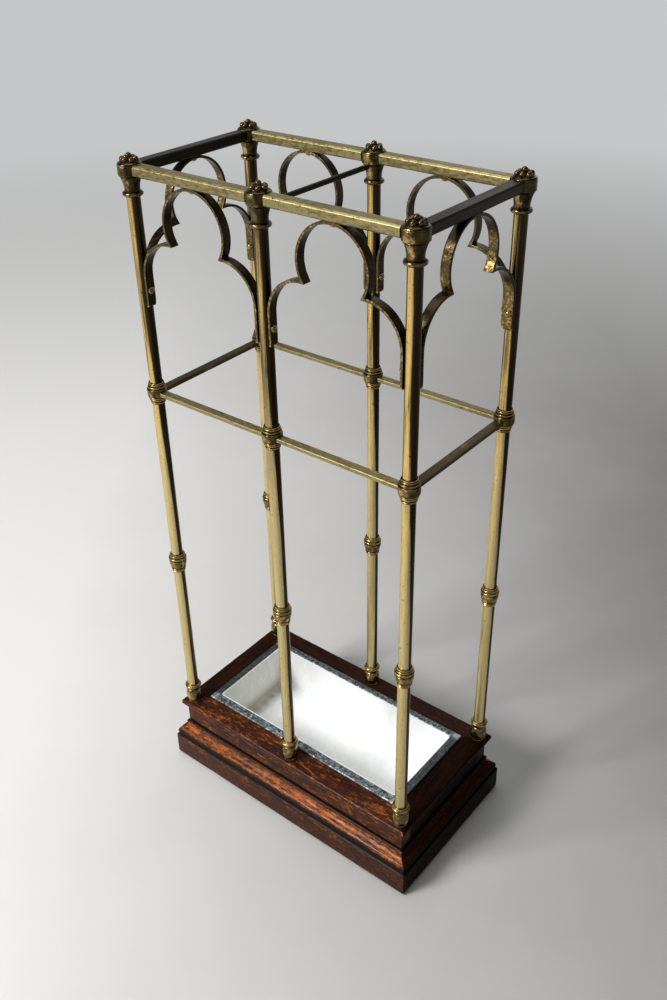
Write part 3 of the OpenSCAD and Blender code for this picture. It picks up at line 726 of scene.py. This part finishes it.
def plain_iron(name):
    """Iron with a brown bloom of rust."""
    iron, rust = bpy.context.scene.stand_finishes.iron, (0.10, 0.045, 0.02)
    finish, tree, shader, place = new_finish(name)
    bloom = cloud(tree, place, 240, 6, 0.65)
    fine = cloud(tree, place, 1400, 4, 0.6, shift=3)
    colour = blended(tree, ranged(tree, bloom, 0.45, 0.65), iron, rust)
    fill(tree, shader, {"Base Color": colour, "Metallic": 0.8,
                        "Roughness": ranged(tree, bloom, 0.3, 0.7, 0.4, 0.75)})
    bumped(tree, shader, [(bloom, 0.00015), (fine, 0.00004)])
    return finish


def finish_named(name, maker, *details, **more):
    """Finish of that name, made once."""
    return bpy.data.materials.get(name) or maker(name, *details, **more)


def cast_brass(place):
    """Finish of the castings of one place on the posts."""
    # Each place's castings take painted shade on their faces towards the stand's ends
    veil, edges, sides = CAST_TARNISH_AND_SHADE[place]
    return finish_named("cast_brass_" + place, aged_brass, 0.5, 0.2, spots=0.6, veil=veil, edges=edges,
                        sides=sides)


# Operators, one for each piece or group of like pieces

class STAND_OT_feet(Operator):
    """Turn the six feet, each a bulb under a cupped ring"""
    bl_idname = "stick_stand.feet"
    bl_label = "Post feet"

    def execute(self, context):
        profile = [(0, 0), (6.5, 0), (6.8, 0.25), (6.85, 0.6)]
        profile += [(5.1 + 2.95 * math.cos(math.radians(a)), 8 * (1 + math.sin(math.radians(a))))
                    for a in range(-60, 76, 6)]
        profile += [(6.25, 16.6), (6.35, 17.6), (6.75, 18.6)]
        profile += bead(20.7, 8.25, 3.4, 12)
        profile += [(6.9, 22.6), (6.9, 23.1), (6.7, 23.4), (6.3, 23.4), (6.15, 23.0), (6.05, 21.4)]
        profile += [(5.2, 21.2), (0, 21.2)]
        shape = copies(turned(profile), at_posts().values())
        piece(shape, "cast_feet", "stand", cast_brass("low"), ["post_feet"])
        return {"FINISHED"}


class STAND_OT_collars(Operator):
    """Turn the six collars, each a tapered bowl under two beads"""
    bl_idname = "stick_stand.collars"
    bl_label = "Post collars"

    def execute(self, context):
        profile = [(0, -10), (5.85, -10)]
        profile += bead(-9.2, 6.4, 0.9, 6)
        profile += bead(-8.0, 6.7, 1.2, 6)
        profile += bead(-6.5, 7.0, 1.3, 6)
        profile += [(6.55, -5.7), (6.75, -5.2)]
        profile += arc(8.3 - 18, 2.0, 18, -22, 0, 10)
        profile += [(8.25, 2.6), (7.9, 2.95), (7.35, 3.15), (7.3, 3.4)]
        profile += bead(4.8, 8.5, 2.5, 10)
        profile += [(7.1, 6.2)]
        profile += bead(7.4, 7.6, 2.1, 8)
        profile += [(6.8, 8.7), (6.75, 9.6), (6.6, 9.95), (6.3, 10), (6.1, 9.7), (6.0, 8.2)]
        profile += [(5.2, 8.0), (0, 8.0)]
        shape = copies(turned(profile), at_posts(COLLAR_Z).values())
        piece(shape, "collar_castings", "stand", cast_brass("low"), ["post_collars"])
        return {"FINISHED"}


class STAND_OT_hubs(Operator):
    """Turn the hubs that the middle rails meet"""
    bl_idname = "stick_stand.hubs"
    bl_label = "Rail hubs"

    def execute(self, context):
        profile = [(0, -10), (5.85, -10), (6.0, -9.5)]
        profile += bead(-8.6, 6.5, 1.4, 6)
        profile += [(6.0, -7.7), (6.05, -7.3)]
        profile += bead(-6.0, 7.25, 2.2, 8)
        profile += [(6.9, -4.75)]
        profile += bead(-3.9, 7.9, 1.5, 6)
        profile += [(7.4, -2.95), (8.1, -2.7), (8.5, -2.4), (8.6, -1.9), (8.6, 3.3), (8.5, 3.8), (8.1, 4.2),
                    (7.3, 4.45), (7.2, 4.6)]
        profile += bead(5.8, 7.8, 2.2, 8)
        profile += [(6.9, 7.0)]
        profile += bead(8.0, 7.1, 1.9, 8)
        profile += [(6.55, 9.1), (6.55, 9.7), (6.45, 9.95), (6.2, 10), (6.1, 9.7), (6.0, 8.2)]
        profile += [(5.2, 8.0), (0, 8.0)]
        for name, place in at_posts(HUB_Z).items():
            piece(moved(turned(profile), place), "hub_" + name, "stand", cast_brass("middle"),
                  ["mid_hub_" + name])
        return {"FINISHED"}


class STAND_OT_capitals(Operator):
    """Turn the capitals, each a ring, a trumpet and a drum with a stepped top"""
    bl_idname = "stick_stand.capitals"
    bl_label = "Capitals"

    def execute(self, context):
        profile = [(0, CAP_BOTTOM), (5.9, CAP_BOTTOM), (6.2, CAP_BOTTOM + 0.3)]
        profile += bead(529.4, 8.25, 3.5, 12)
        profile += [(6.15, 531.4)]
        profile += arc(6.1 + 24.2, 531.8, 24.2, 180, 154, 14)[1:]
        profile += [(8.75, 542.6), (8.5, 542.9), (8.35, 543.3), (8.6, 543.5), (9.35, 543.5), (9.7, 543.8)]
        profile += [(9.75, 544.4), (9.75, 550.6), (9.62, 550.85)]
        profile += arc(7.45, 551.2, 2.3, 0, 82, 12)
        profile += [(7.7, 553.35), (7.55, 553.2), (7.35, 553.25), (7.3, 553.55), (7.1, DRUM_TOP)]
        profile += [(0, DRUM_TOP)]
        for name, place in at_posts().items():
            piece(moved(turned(profile), place), "capital_cast_" + name, "stand",
                  cast_brass("top"), ["capital_" + name])
        return {"FINISHED"}


class STAND_OT_finials(Operator):
    """Model the finials, a raised ball in a ring of six on a small disc"""
    bl_idname = "stick_stand.finials"
    bl_label = "Finials"

    def execute(self, context):
        ball_r, ring_r = 2.44, 5
        disc = [(0, -0.3), (6.5, -0.3), (6.6, 0), (6.6, 0.5), (6.35, 0.85), (5.0, 0.9), (3.6, 1.6),
                (3.2, 2.6), (0, 2.8)]
        shape = turned([(reach, DRUM_TOP + height) for reach, height in disc], 48)
        angles = np.arange(6) * math.pi / 3
        spots = [(ring_r * math.cos(a), ring_r * math.sin(a), DRUM_TOP + 1.45) for a in angles]
        for spot in spots + [(0, 0, DRUM_TOP + 4.0)]:
            bmesh.ops.create_uvsphere(shape, u_segments=20, v_segments=14, radius=ball_r * MM,
                                      matrix=Matrix.Translation(Vector(spot) * MM))
        turns = {name: math.radians(9 if name.endswith("mid") else 39) for name in POST_NAMES}
        shape = copies(shape, [at_place(POSTS[name], turn) for name, turn in turns.items()])
        piece(shape, "finial_clusters", "stand", cast_brass("finials"), ["finials"])
        return {"FINISHED"}


class STAND_OT_tubes(Operator):
    """Draw the post tubes from foot to capital"""
    bl_idname = "stick_stand.tubes"
    bl_label = "Post tubes"

    def execute(self, context):
        reach = context.scene.stand_sizes.tube / MM
        sunk = 4.5
        low, high = FOOT_TOP - sunk, CAP_BOTTOM + sunk
        profile = [(0, low)] + [(reach, z) for z in np.linspace(low, high, 60)] + [(0, high)]
        # The tubes take painted shade on their faces towards the stand's ends, and are painted paler low down
        finish = finish_named("drawn_tube", aged_brass, 0.75, 0.13, (1, 1, 0.04), 0.7, 11, veil=0.2,
                              paler=True, sides=0.97, mark=330, tone=(0.84, 0.57, 0.19))
        for i, (name, place) in enumerate(at_posts().items()):
            shape = moved(roughen(turned(profile, 48), 0.05 * MM, 40, 3.0 * i), place)
            piece(shape, "tube_" + name, "stand", finish, ["post_tubes_" + name])
        return {"FINISHED"}


class STAND_OT_top_rails(Operator):
    """Fit the chamfered top rails between the capitals"""
    bl_idname = "stick_stand.top_rails"
    bl_label = "Top rails"

    def execute(self, context):
        sizes = context.scene.stand_sizes
        within_drums = 17.4 * MM
        hole_reach = 17.4 * MM
        for name in BAYS:
            length, turn, centre = bay(name)
            shape = bar(length - within_drums, sizes.rail_width, sizes.rail_height, sizes.rail_chamfer)
            if name == "front_right":
                drill_chamfer(shape, hole_reach - length / 2)
            roughen(shape, 0.06 * MM, 60, len(name))
            # The end rails take a darker copy of the brass, painted shade over their tarnish
            if name.endswith("end"):
                finish = finish_named("rail_brass_end", aged_brass, 0.15, 0.36, (1, 0.12, 1), 0.5, 21,
                                      veil=1.0, edges=0.25, tone=(0.22, 0.21, 0.14))
            else:
                finish = finish_named("rail_brass_long", aged_brass, 0.7, 0.38, (0.4, 1, 1), 0.6, 21,
                                      edges=0.35, mark=520, tone=(0.34, 0.29, 0.135))
            place = at_place(centre + raised(RAIL_Z), turn)
            piece(moved(shape, place), "rail_top_" + name, "stand", finish,
                  ["top_rail_" + name])
        return {"FINISHED"}


def drill_chamfer(shape, spot):
    """Drills the small blind hole in a bar's upper front chamfer."""
    reach, depth = 0.75 * MM, 2.4 * MM
    facing = Vector((0, -1, 1)).normalized()
    flat = [f for f in shape.faces if f.normal.dot(facing) > 0.99]
    patch = min(flat, key=lambda f: abs(f.calc_center_median().x - spot))
    bmesh.ops.inset_individual(shape, faces=[patch], thickness=0.1 * MM)
    middle_x = patch.calc_center_median().x
    for corner in patch.verts:
        corner.co.x = spot + math.copysign(reach, corner.co.x - middle_x)
    centre = patch.calc_center_median()
    bevel(shape, patch.verts[:], 0.4 * MM, 2, "VERTICES")
    hole = min(shape.faces, key=lambda f: (f.calc_center_median() - centre).length)
    grown = bmesh.ops.extrude_face_region(shape, geom=[hole])["geom"]
    bmesh.ops.translate(shape, vec=-facing * depth, verts=picked(grown, BMVert))
    bmesh.ops.delete(shape, geom=[hole], context="FACES_ONLY")


class STAND_OT_mid_rails(Operator):
    """Fit the flat rails between the hubs, and the round rod between the middle capitals"""
    bl_idname = "stick_stand.mid_rails"
    bl_label = "Middle rails"

    def execute(self, context):
        within_hubs = 15.6 * MM
        for name in BAYS:
            length, turn, centre = bay(name)
            shape = roughen(bar(length - within_hubs, 8 * MM, 3.5 * MM, 0.35 * MM), 0.06 * MM, 60, len(name))
            # The rails across take a darker copy of the brass, painted shade over their tarnish
            if name.endswith("end"):
                finish = finish_named("rail_brass_across", aged_brass, 0.3, 0.36, (1, 0.12, 1), 0.5, 21,
                                      veil=0.8, edges=0.4)
            else:
                finish = finish_named("rail_brass_long", aged_brass)
            place = at_place(centre + raised(HUB_Z), turn)
            piece(moved(shape, place), "rail_mid_" + name, "stand", finish,
                  ["mid_rail_" + name])
        rod_r = 2.15
        half = BAY_D / 2 / MM - 9
        rod = turned([(0, -half)] + [(rod_r, z) for z in np.linspace(-half, half, 24)] + [(0, half)], 32)
        moved(rod, Matrix.Translation((0, 0, OAK_TOP + CROSS_Z * MM)) @ Matrix.Rotation(math.pi / 2, 4, "X"))
        # The rod across takes the end rails' darker copy, with its painted shade
        finish = finish_named("rail_brass_end", aged_brass)
        piece(rod, "rod_across", "stand", finish, ["cross_rod"])
        return {"FINISHED"}


class STAND_OT_arches(Operator):
    """Bend the cusped arches from strap"""
    bl_idname = "stick_stand.arches"
    bl_label = "Cusped arches"

    def execute(self, context):
        sizes = context.scene.stand_sizes
        # The arches take painted shade on their faces towards the stand's ends
        finish = finish_named("aged_strap", aged_brass, 0.4, 0.27, shift=31, veil=0.5, sides=0.93, mark=420)
        for name in BAYS:
            length, turn, centre = bay(name)
            shape = strap_arch(length / MM, sizes.strap / MM, sizes.strap_width / MM)
            roughen(shape, 0.05 * MM, 80, len(name))
            piece(moved(shape, at_place(centre, turn)), "arch_strap_" + name, "stand", finish,
                  ["arch_" + name], smooth=45)
        return {"FINISHED"}


class STAND_OT_screws(Operator):
    """Drive the slotted screws through the arches' crowns and feet"""
    bl_idname = "stick_stand.screws"
    bl_label = "Arch screws"

    def execute(self, context):
        # The screws take painted shade on their faces towards the stand's ends
        finish = finish_named("aged_screws", aged_brass, 0.7, 0.2, spots=0.4, shift=41, veil=0.55, edges=0.7,
                              sides=0.6)
        strap = context.scene.stand_sizes.strap
        lean = Matrix.Translation((POST_R * MM + strap, 0, 0)) @ Matrix.Rotation(-math.pi / 2, 4, "Y")
        crowns, sides = [], []
        # Each slot is turned further than the last
        for i, (name, posts) in enumerate(BAYS.items()):
            _, turn, centre = bay(name)
            crowns.append(at_place(centre + Vector((0, 0, ARCH_TOP * MM - strap)), turn + 0.6 * i))
            for post, way in zip(posts, (0, math.pi)):
                place = at_place(POSTS[post] + raised(SCREW_Z), turn + way)
                sides.append(place @ lean @ Matrix.Rotation(0.9 * len(sides), 4, "Z"))
        piece(copies(slotted_head(3.0, 2.4, 4), crowns), "screws_crown", "stand", finish,
              ["arch_crown_screws"])
        piece(copies(slotted_head(3.0, 2.4, 3), sides), "screws_side", "stand", finish,
              ["arch_side_screws"])
        return {"FINISHED"}


def side_sizes(quarter):
    """Half length along a side and half size across it, to the post axes, in millimetres."""
    wide, deep = BAY_W / MM, BAY_D / 2 / MM
    return (deep, wide) if quarter % 2 else (wide, deep)


def boards(section, name, node, inner, outer, slot, shift):
    """Four mitred boards of one section round the base, the inner reaches those of the front."""
    gap = bpy.context.scene.stand_sizes.mitre_gap
    for quarter, side in enumerate(SIDES):
        along, across = side_sizes(quarter)
        axis, reaches, cuts = ("y", inner[::-1], 60) if quarter % 2 else ("x", inner, 110)
        shape = moulding(section(reaches[1]), along, across, reaches, (outer, outer), quarter, cuts, gap)
        # Long waves and short ripples
        roughen(shape, 0.28 * MM, 35, shift + quarter)
        roughen(shape, 0.22 * MM, 160, shift + 2 * quarter)
        held_in(ease(shape, 0.22 * MM, 38, 2), node + side)
        # Each side's boards take their own copy of the oak, darker on the sides turned from the light: partly
        # a darker finish, partly painted shade
        finish = finish_named(slot + "_" + side, stained_oak, axis, BOARD_WEAR[side], BOARD_DEPTH_AND_SHADE[side],
                              shift + quarter, slot == "dark_oak")
        piece(shape, name + side, "stand", finish, [node + side], smooth=30, reach=0.002)


class STAND_OT_top_boards(Operator):
    """Plane the mitred boards round the tray, with their rounded nose over a cove"""
    bl_idname = "stick_stand.top_boards"
    bl_label = "Top boards"

    def execute(self, context):
        top = OAK_TOP / MM

        def section(inner):
            return ([(inner, top), (inner, top - 10), (0, top - 10), (5.5, top - 10)]
                    + arc(10, top - 10, 4.5, 180, 105, 8) + [(9.7, top - 5.2), (10, top - 4.4)]
                    + arc(8.0, top - 2, 2.0, 0, 90, 8) + [(3, top), (-6, top), (-12, top)])
        boards(section, "board_top_", "top_frame_", (-17.5, -16.5), 10, "oak", 3.0)
        return {"FINISHED"}


class STAND_OT_plinth(Operator):
    """Plane the mitred plinth moulding"""
    bl_idname = "stick_stand.plinth"
    bl_label = "Plinth"

    def execute(self, context):
        def section(inner):
            profile = [(inner, 0), (9, 0)] + arc(12.8, 4, 4.0, -90, 0, 10)
            profile += [(16.8, 10), (16.8, 18), (16.8, 26.4)] + arc(15.6, 26.6, 1.2, 0, 75, 4)
            profile += [(15.1, 28.1), (14.7, 28.8), (14.6, 29.8), (14.9, 30.5)]
            profile += arc(9.7, 32, 5.7, -10, 80, 14)
            profile += arc(13.2, 44, 6.3, 232, 186, 7)
            profile += bead(45.3, 8.1, 1.9, 6)
            return profile + [(6.9, 46.6), (6.9, 47), (inner, 47)]
        boards(section, "moulding_plinth_", "plinth_", (5.5, 5.5), 16.8, "dark_oak", 7.0)
        return {"FINISHED"}


class STAND_OT_tray(Operator):
    """Press the enamelled pan and solder the zinc rim round it"""
    bl_idname = "stick_stand.tray"
    bl_label = "Drip tray"

    def execute(self, context):
        corner_r, foot_r, wall = 3.2 * MM, 2.6 * MM, 1.0 * MM
        low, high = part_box("tray_liner")
        shape = bmesh.new()
        corners = [shape.verts.new((x, y, low[2])) for x, y in
                   ((low[0], low[1]), (high[0], low[1]), (high[0], high[1]), (low[0], high[1]))]
        shape.faces.new(corners)
        bevel(shape, corners, corner_r, 6, "VERTICES")
        grown = bmesh.ops.extrude_face_region(shape, geom=shape.faces[:], use_keep_orig=True)["geom"]
        lid = next(face for face in picked(grown, BMFace) if abs(face.normal.z) > 0.9)
        bmesh.ops.translate(shape, vec=(0, 0, high[2] - low[2]), verts=lid.verts)
        bmesh.ops.delete(shape, geom=[lid], context="FACES_ONLY")
        foot = [e for e in shape.edges if all(v.co.z < low[2] + 1e-6 for v in e.verts)]
        bevel(shape, foot, foot_r, 5)
        bmesh.ops.recalc_face_normals(shape, faces=shape.faces)
        bmesh.ops.solidify(shape, geom=shape.faces[:], thickness=wall)
        close(shape)
        finish = finish_named("old_enamel", old_enamel)
        piece(shape, "pan", "tray", finish, ["tray_liner"], smooth=40)
        self.rim()
        return {"FINISHED"}

    def rim(self):
        """Four mitred zinc strips with a rolled outer edge, soldered at their corners."""
        low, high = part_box("tray_rim")
        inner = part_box("tray_liner")
        width = (inner[0][0] - low[0]) / MM
        tall = (high[2] - low[2]) / MM
        base = low[2] / MM
        section = [(0, base), (width - 0.6, base)] + arc(width - 1.3, base + 1.3, 1.3, -40, 90, 8)
        section += [(width - 2.2, base + 2.7), (width - 3.0, base + tall - 0.5), (1.85, base + tall - 0.1474)]
        section += [(width - 3.8, base + tall - 0.15), (1.2, base + tall - 0.05), (0.5, base + tall)]
        section += [(0, base + tall - 0.5)]
        wide, deep = high[0] / MM - width, high[1] / MM - width
        strips = []
        for quarter in range(4):
            along, across, cuts = (deep, wide, 45) if quarter % 2 else (wide, deep, 90)
            strips.append(moulding(section, along, across, (0, 0), (width, width), quarter, cuts, 0))
        whole = joined(strips)
        # The cut ends lie inside the corners, so they go and the strips grow together
        ends = [f for f in whole.faces if abs(abs(f.normal.x) - abs(f.normal.y)) < 0.02
                and abs(f.normal.z) < 0.02 and len(f.verts) > 6]
        bmesh.ops.delete(whole, geom=ends, context="FACES_ONLY")
        bmesh.ops.remove_doubles(whole, verts=whole.verts, dist=0.02 * MM)
        roughen(close(whole), 0.22 * MM, 110, 5)
        finish = finish_named("dull_zinc", dull_zinc)
        piece(whole, "rim_strip", "tray", finish, ["tray_rim"], reach=0.0016)


class STAND_OT_carried(Operator):
    """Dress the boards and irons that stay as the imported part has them"""
    bl_idname = "stick_stand.carried"
    bl_label = "Inner boards and irons"

    def execute(self, context):
        dress = {}
        for side in SIDES:
            axis = "x" if side in ("front", "back") else "y"
            # Each side's boards take their own copy of the oak, darker on the sides turned from the light:
            # partly a darker finish, partly painted shade
            dress["side_board_" + side] = finish_named("plain_oak_" + side, stained_oak, axis,
                                                       BOARD_WEAR[side], BOARD_DEPTH_AND_SHADE[side], 13.0,
                                                       carried=True)
        dress["bottom_board"] = finish_named("bottom_oak", stained_oak, "x", 0, 0.6, 17.0, carried=True)
        for node in ("tie_rods", "rod_nuts"):
            dress[node] = finish_named("plain_iron", plain_iron)
        for node, finish in dress.items():
            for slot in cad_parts[node].material_slots:
                slot.material = finish
        return {"FINISHED"}


class STAND_OT_stage(Operator):
    """Set the floor, the lamps, the world and the camera"""
    bl_idname = "stick_stand.stage"
    bl_label = "Stage"

    def execute(self, context):
        colours = context.scene.stand_finishes
        shape = bmesh.new()
        bmesh.ops.create_grid(shape, x_segments=2, y_segments=2, size=12)
        mesh = bpy.data.meshes.new("floor")
        shape.to_mesh(mesh)
        shape.free()
        floor = bpy.data.objects.new("floor", mesh)
        # Painted pool of light: the floor's colour falls from pale towards the key lamp to the shade colour
        # away from it, and pales again further back
        from_light = (0.776, 0.63, 0)
        finish, tree, shader, place = new_finish("floor")
        mottle = cloud(tree, place, 3, 5, 0.6)
        away = put(tree, "ShaderNodeVectorMath", {0: place, 1: from_light}, operation="DOT_PRODUCT")
        away = plus(tree, away.outputs["Value"], times(tree, mottle, 0.2))
        nearer = ranged(tree, axes(tree, place)[1], 0.6, 3.0, 1.0, 0.25)
        away = times(tree, ranged(tree, away, -0.25, 0.65), nearer)
        tone = blended(tree, away, colours.floor, colours.shade)
        fill(tree, shader, {"Base Color": tone, "Roughness": 0.8, "Specular IOR Level": 0.2})
        reach = put(tree, "ShaderNodeVectorMath", {0: place}, operation="LENGTH").outputs["Value"]
        far = times(tree, ranged(tree, reach, 0.9, 2.8), self.seen(tree))
        backdrop = put(tree, "ShaderNodeEmission", {"Color": rgba(BACKDROP), "Strength": 1.0})
        mixed = put(tree, "ShaderNodeMixShader", {0: far, 1: shader.outputs[0], 2: backdrop.outputs[0]})
        tree.links.new(mixed.outputs[0], tree.nodes["Material Output"].inputs["Surface"])
        mesh.materials.append(finish)
        context.scene.collection.objects.link(floor)
        for name, settings in LAMPS.items():
            self.lamp(name, *settings)
        self.world(context)
        self.camera(context)
        context.scene.view_settings.view_transform = "Standard"
        return {"FINISHED"}

    def seen(self, tree):
        """1 for what the camera, gloss and glass see, 0 for light on the object."""
        path = put(tree, "ShaderNodeLightPath")
        seen = worked(tree, "MAXIMUM", path.outputs["Is Camera Ray"], path.outputs["Is Glossy Ray"])
        return worked(tree, "MAXIMUM", seen, path.outputs["Is Transmission Ray"])

    def lamp(self, name, place, size, power, colour):
        """Square soft lamp that looks at the stand's middle."""
        light = bpy.data.lights.new(name, "AREA")
        light.shape = "SQUARE"
        light.size = size
        light.energy = power
        light.color = colour
        made = bpy.data.objects.new(name, light)
        aim = (Vector(place) - Vector((0, 0, 0.3))).to_track_quat("Z", "Y")
        made.matrix_world = Matrix.Translation(place) @ aim.to_matrix().to_4x4()
        bpy.context.scene.collection.objects.link(made)

    def world(self, context):
        """Even dim light, and a pale backdrop for what the camera, gloss and glass see."""
        world = bpy.data.worlds.new("studio")
        context.scene.world = world
        world.use_nodes = True
        tree = world.node_tree
        tree.nodes.clear()
        dim = put(tree, "ShaderNodeBackground", {"Color": (1, 0.99, 0.97, 1), "Strength": 0.10})
        height = axes(tree, put(tree, "ShaderNodeTexCoord").outputs["Generated"])[2]
        shade = blended(tree, ranged(tree, height, 0.15, 0.65), BACKDROP, OVERHEAD)
        pale = put(tree, "ShaderNodeBackground", {"Color": shade, "Strength": 1.0})
        mixed = put(tree, "ShaderNodeMixShader", {0: self.seen(tree), 1: dim.outputs[0], 2: pale.outputs[0]})
        put(tree, "ShaderNodeOutputWorld", {"Surface": mixed.outputs[0]})

    def camera(self, context):
        """Camera at the photograph's place, angle and lens."""
        azimuth, elevation, roll = (math.radians(a) for a in CAMERA_ANGLES)
        back = Vector((math.sin(azimuth) * math.cos(elevation), -math.cos(azimuth) * math.cos(elevation),
                       math.sin(elevation)))
        right = (-back).cross(Vector((0, 0, 1))).normalized()
        up = right.cross(-back)
        level = math.cos(roll) * right + math.sin(roll) * up
        upright = math.cos(roll) * up - math.sin(roll) * right
        data = bpy.data.cameras.new("camera")
        data.lens = CAMERA_LENS
        data.sensor_width = 36.0
        camera = bpy.data.objects.new("camera", data)
        turn = Matrix((level, upright, back)).transposed().to_4x4()
        camera.matrix_world = Matrix.Translation(CAMERA_PLACE) @ turn
        context.scene.collection.objects.link(camera)
        context.scene.camera = camera


PIECES = (STAND_OT_feet, STAND_OT_collars, STAND_OT_hubs, STAND_OT_capitals, STAND_OT_finials, STAND_OT_tubes,
          STAND_OT_top_rails, STAND_OT_mid_rails, STAND_OT_arches, STAND_OT_screws, STAND_OT_top_boards,
          STAND_OT_plinth, STAND_OT_tray, STAND_OT_carried, STAND_OT_stage)


class STAND_PT_panel(Panel):
    """List of the stand's sizes, finishes and makers"""
    bl_idname = "STAND_PT_panel"
    bl_label = "Stick Stand"
    bl_space_type = "VIEW_3D"
    bl_region_type = "UI"
    bl_category = "Stick Stand"

    def draw(self, context):
        for group in (context.scene.stand_sizes, context.scene.stand_finishes):
            box = self.layout.box()
            for key in group.__annotations__:
                box.prop(group, key)
        for operator in PIECES:
            self.layout.operator(operator.bl_idname)


CLASSES = (StandSizes, StandFinishes, *PIECES, STAND_PT_panel)


def register():
    """Adds the stand's classes and settings."""
    for made in CLASSES:
        bpy.utils.register_class(made)
    bpy.types.Scene.stand_sizes = PointerProperty(type=StandSizes)
    bpy.types.Scene.stand_finishes = PointerProperty(type=StandFinishes)


def unregister():
    """Removes the stand's classes and settings."""
    del bpy.types.Scene.stand_finishes
    del bpy.types.Scene.stand_sizes
    for made in reversed(CLASSES):
        bpy.utils.unregister_class(made)


def main():
    """Builds the whole scene."""
    register()
    bpy.ops.stick_stand.feet()
    bpy.ops.stick_stand.collars()
    bpy.ops.stick_stand.hubs()
    bpy.ops.stick_stand.capitals()
    bpy.ops.stick_stand.finials()
    bpy.ops.stick_stand.tubes()
    bpy.ops.stick_stand.top_rails()
    bpy.ops.stick_stand.mid_rails()
    bpy.ops.stick_stand.arches()
    bpy.ops.stick_stand.screws()
    bpy.ops.stick_stand.top_boards()
    bpy.ops.stick_stand.plinth()
    bpy.ops.stick_stand.tray()
    bpy.ops.stick_stand.carried()
    bpy.ops.stick_stand.stage()


if __name__ == "__main__":
    main()
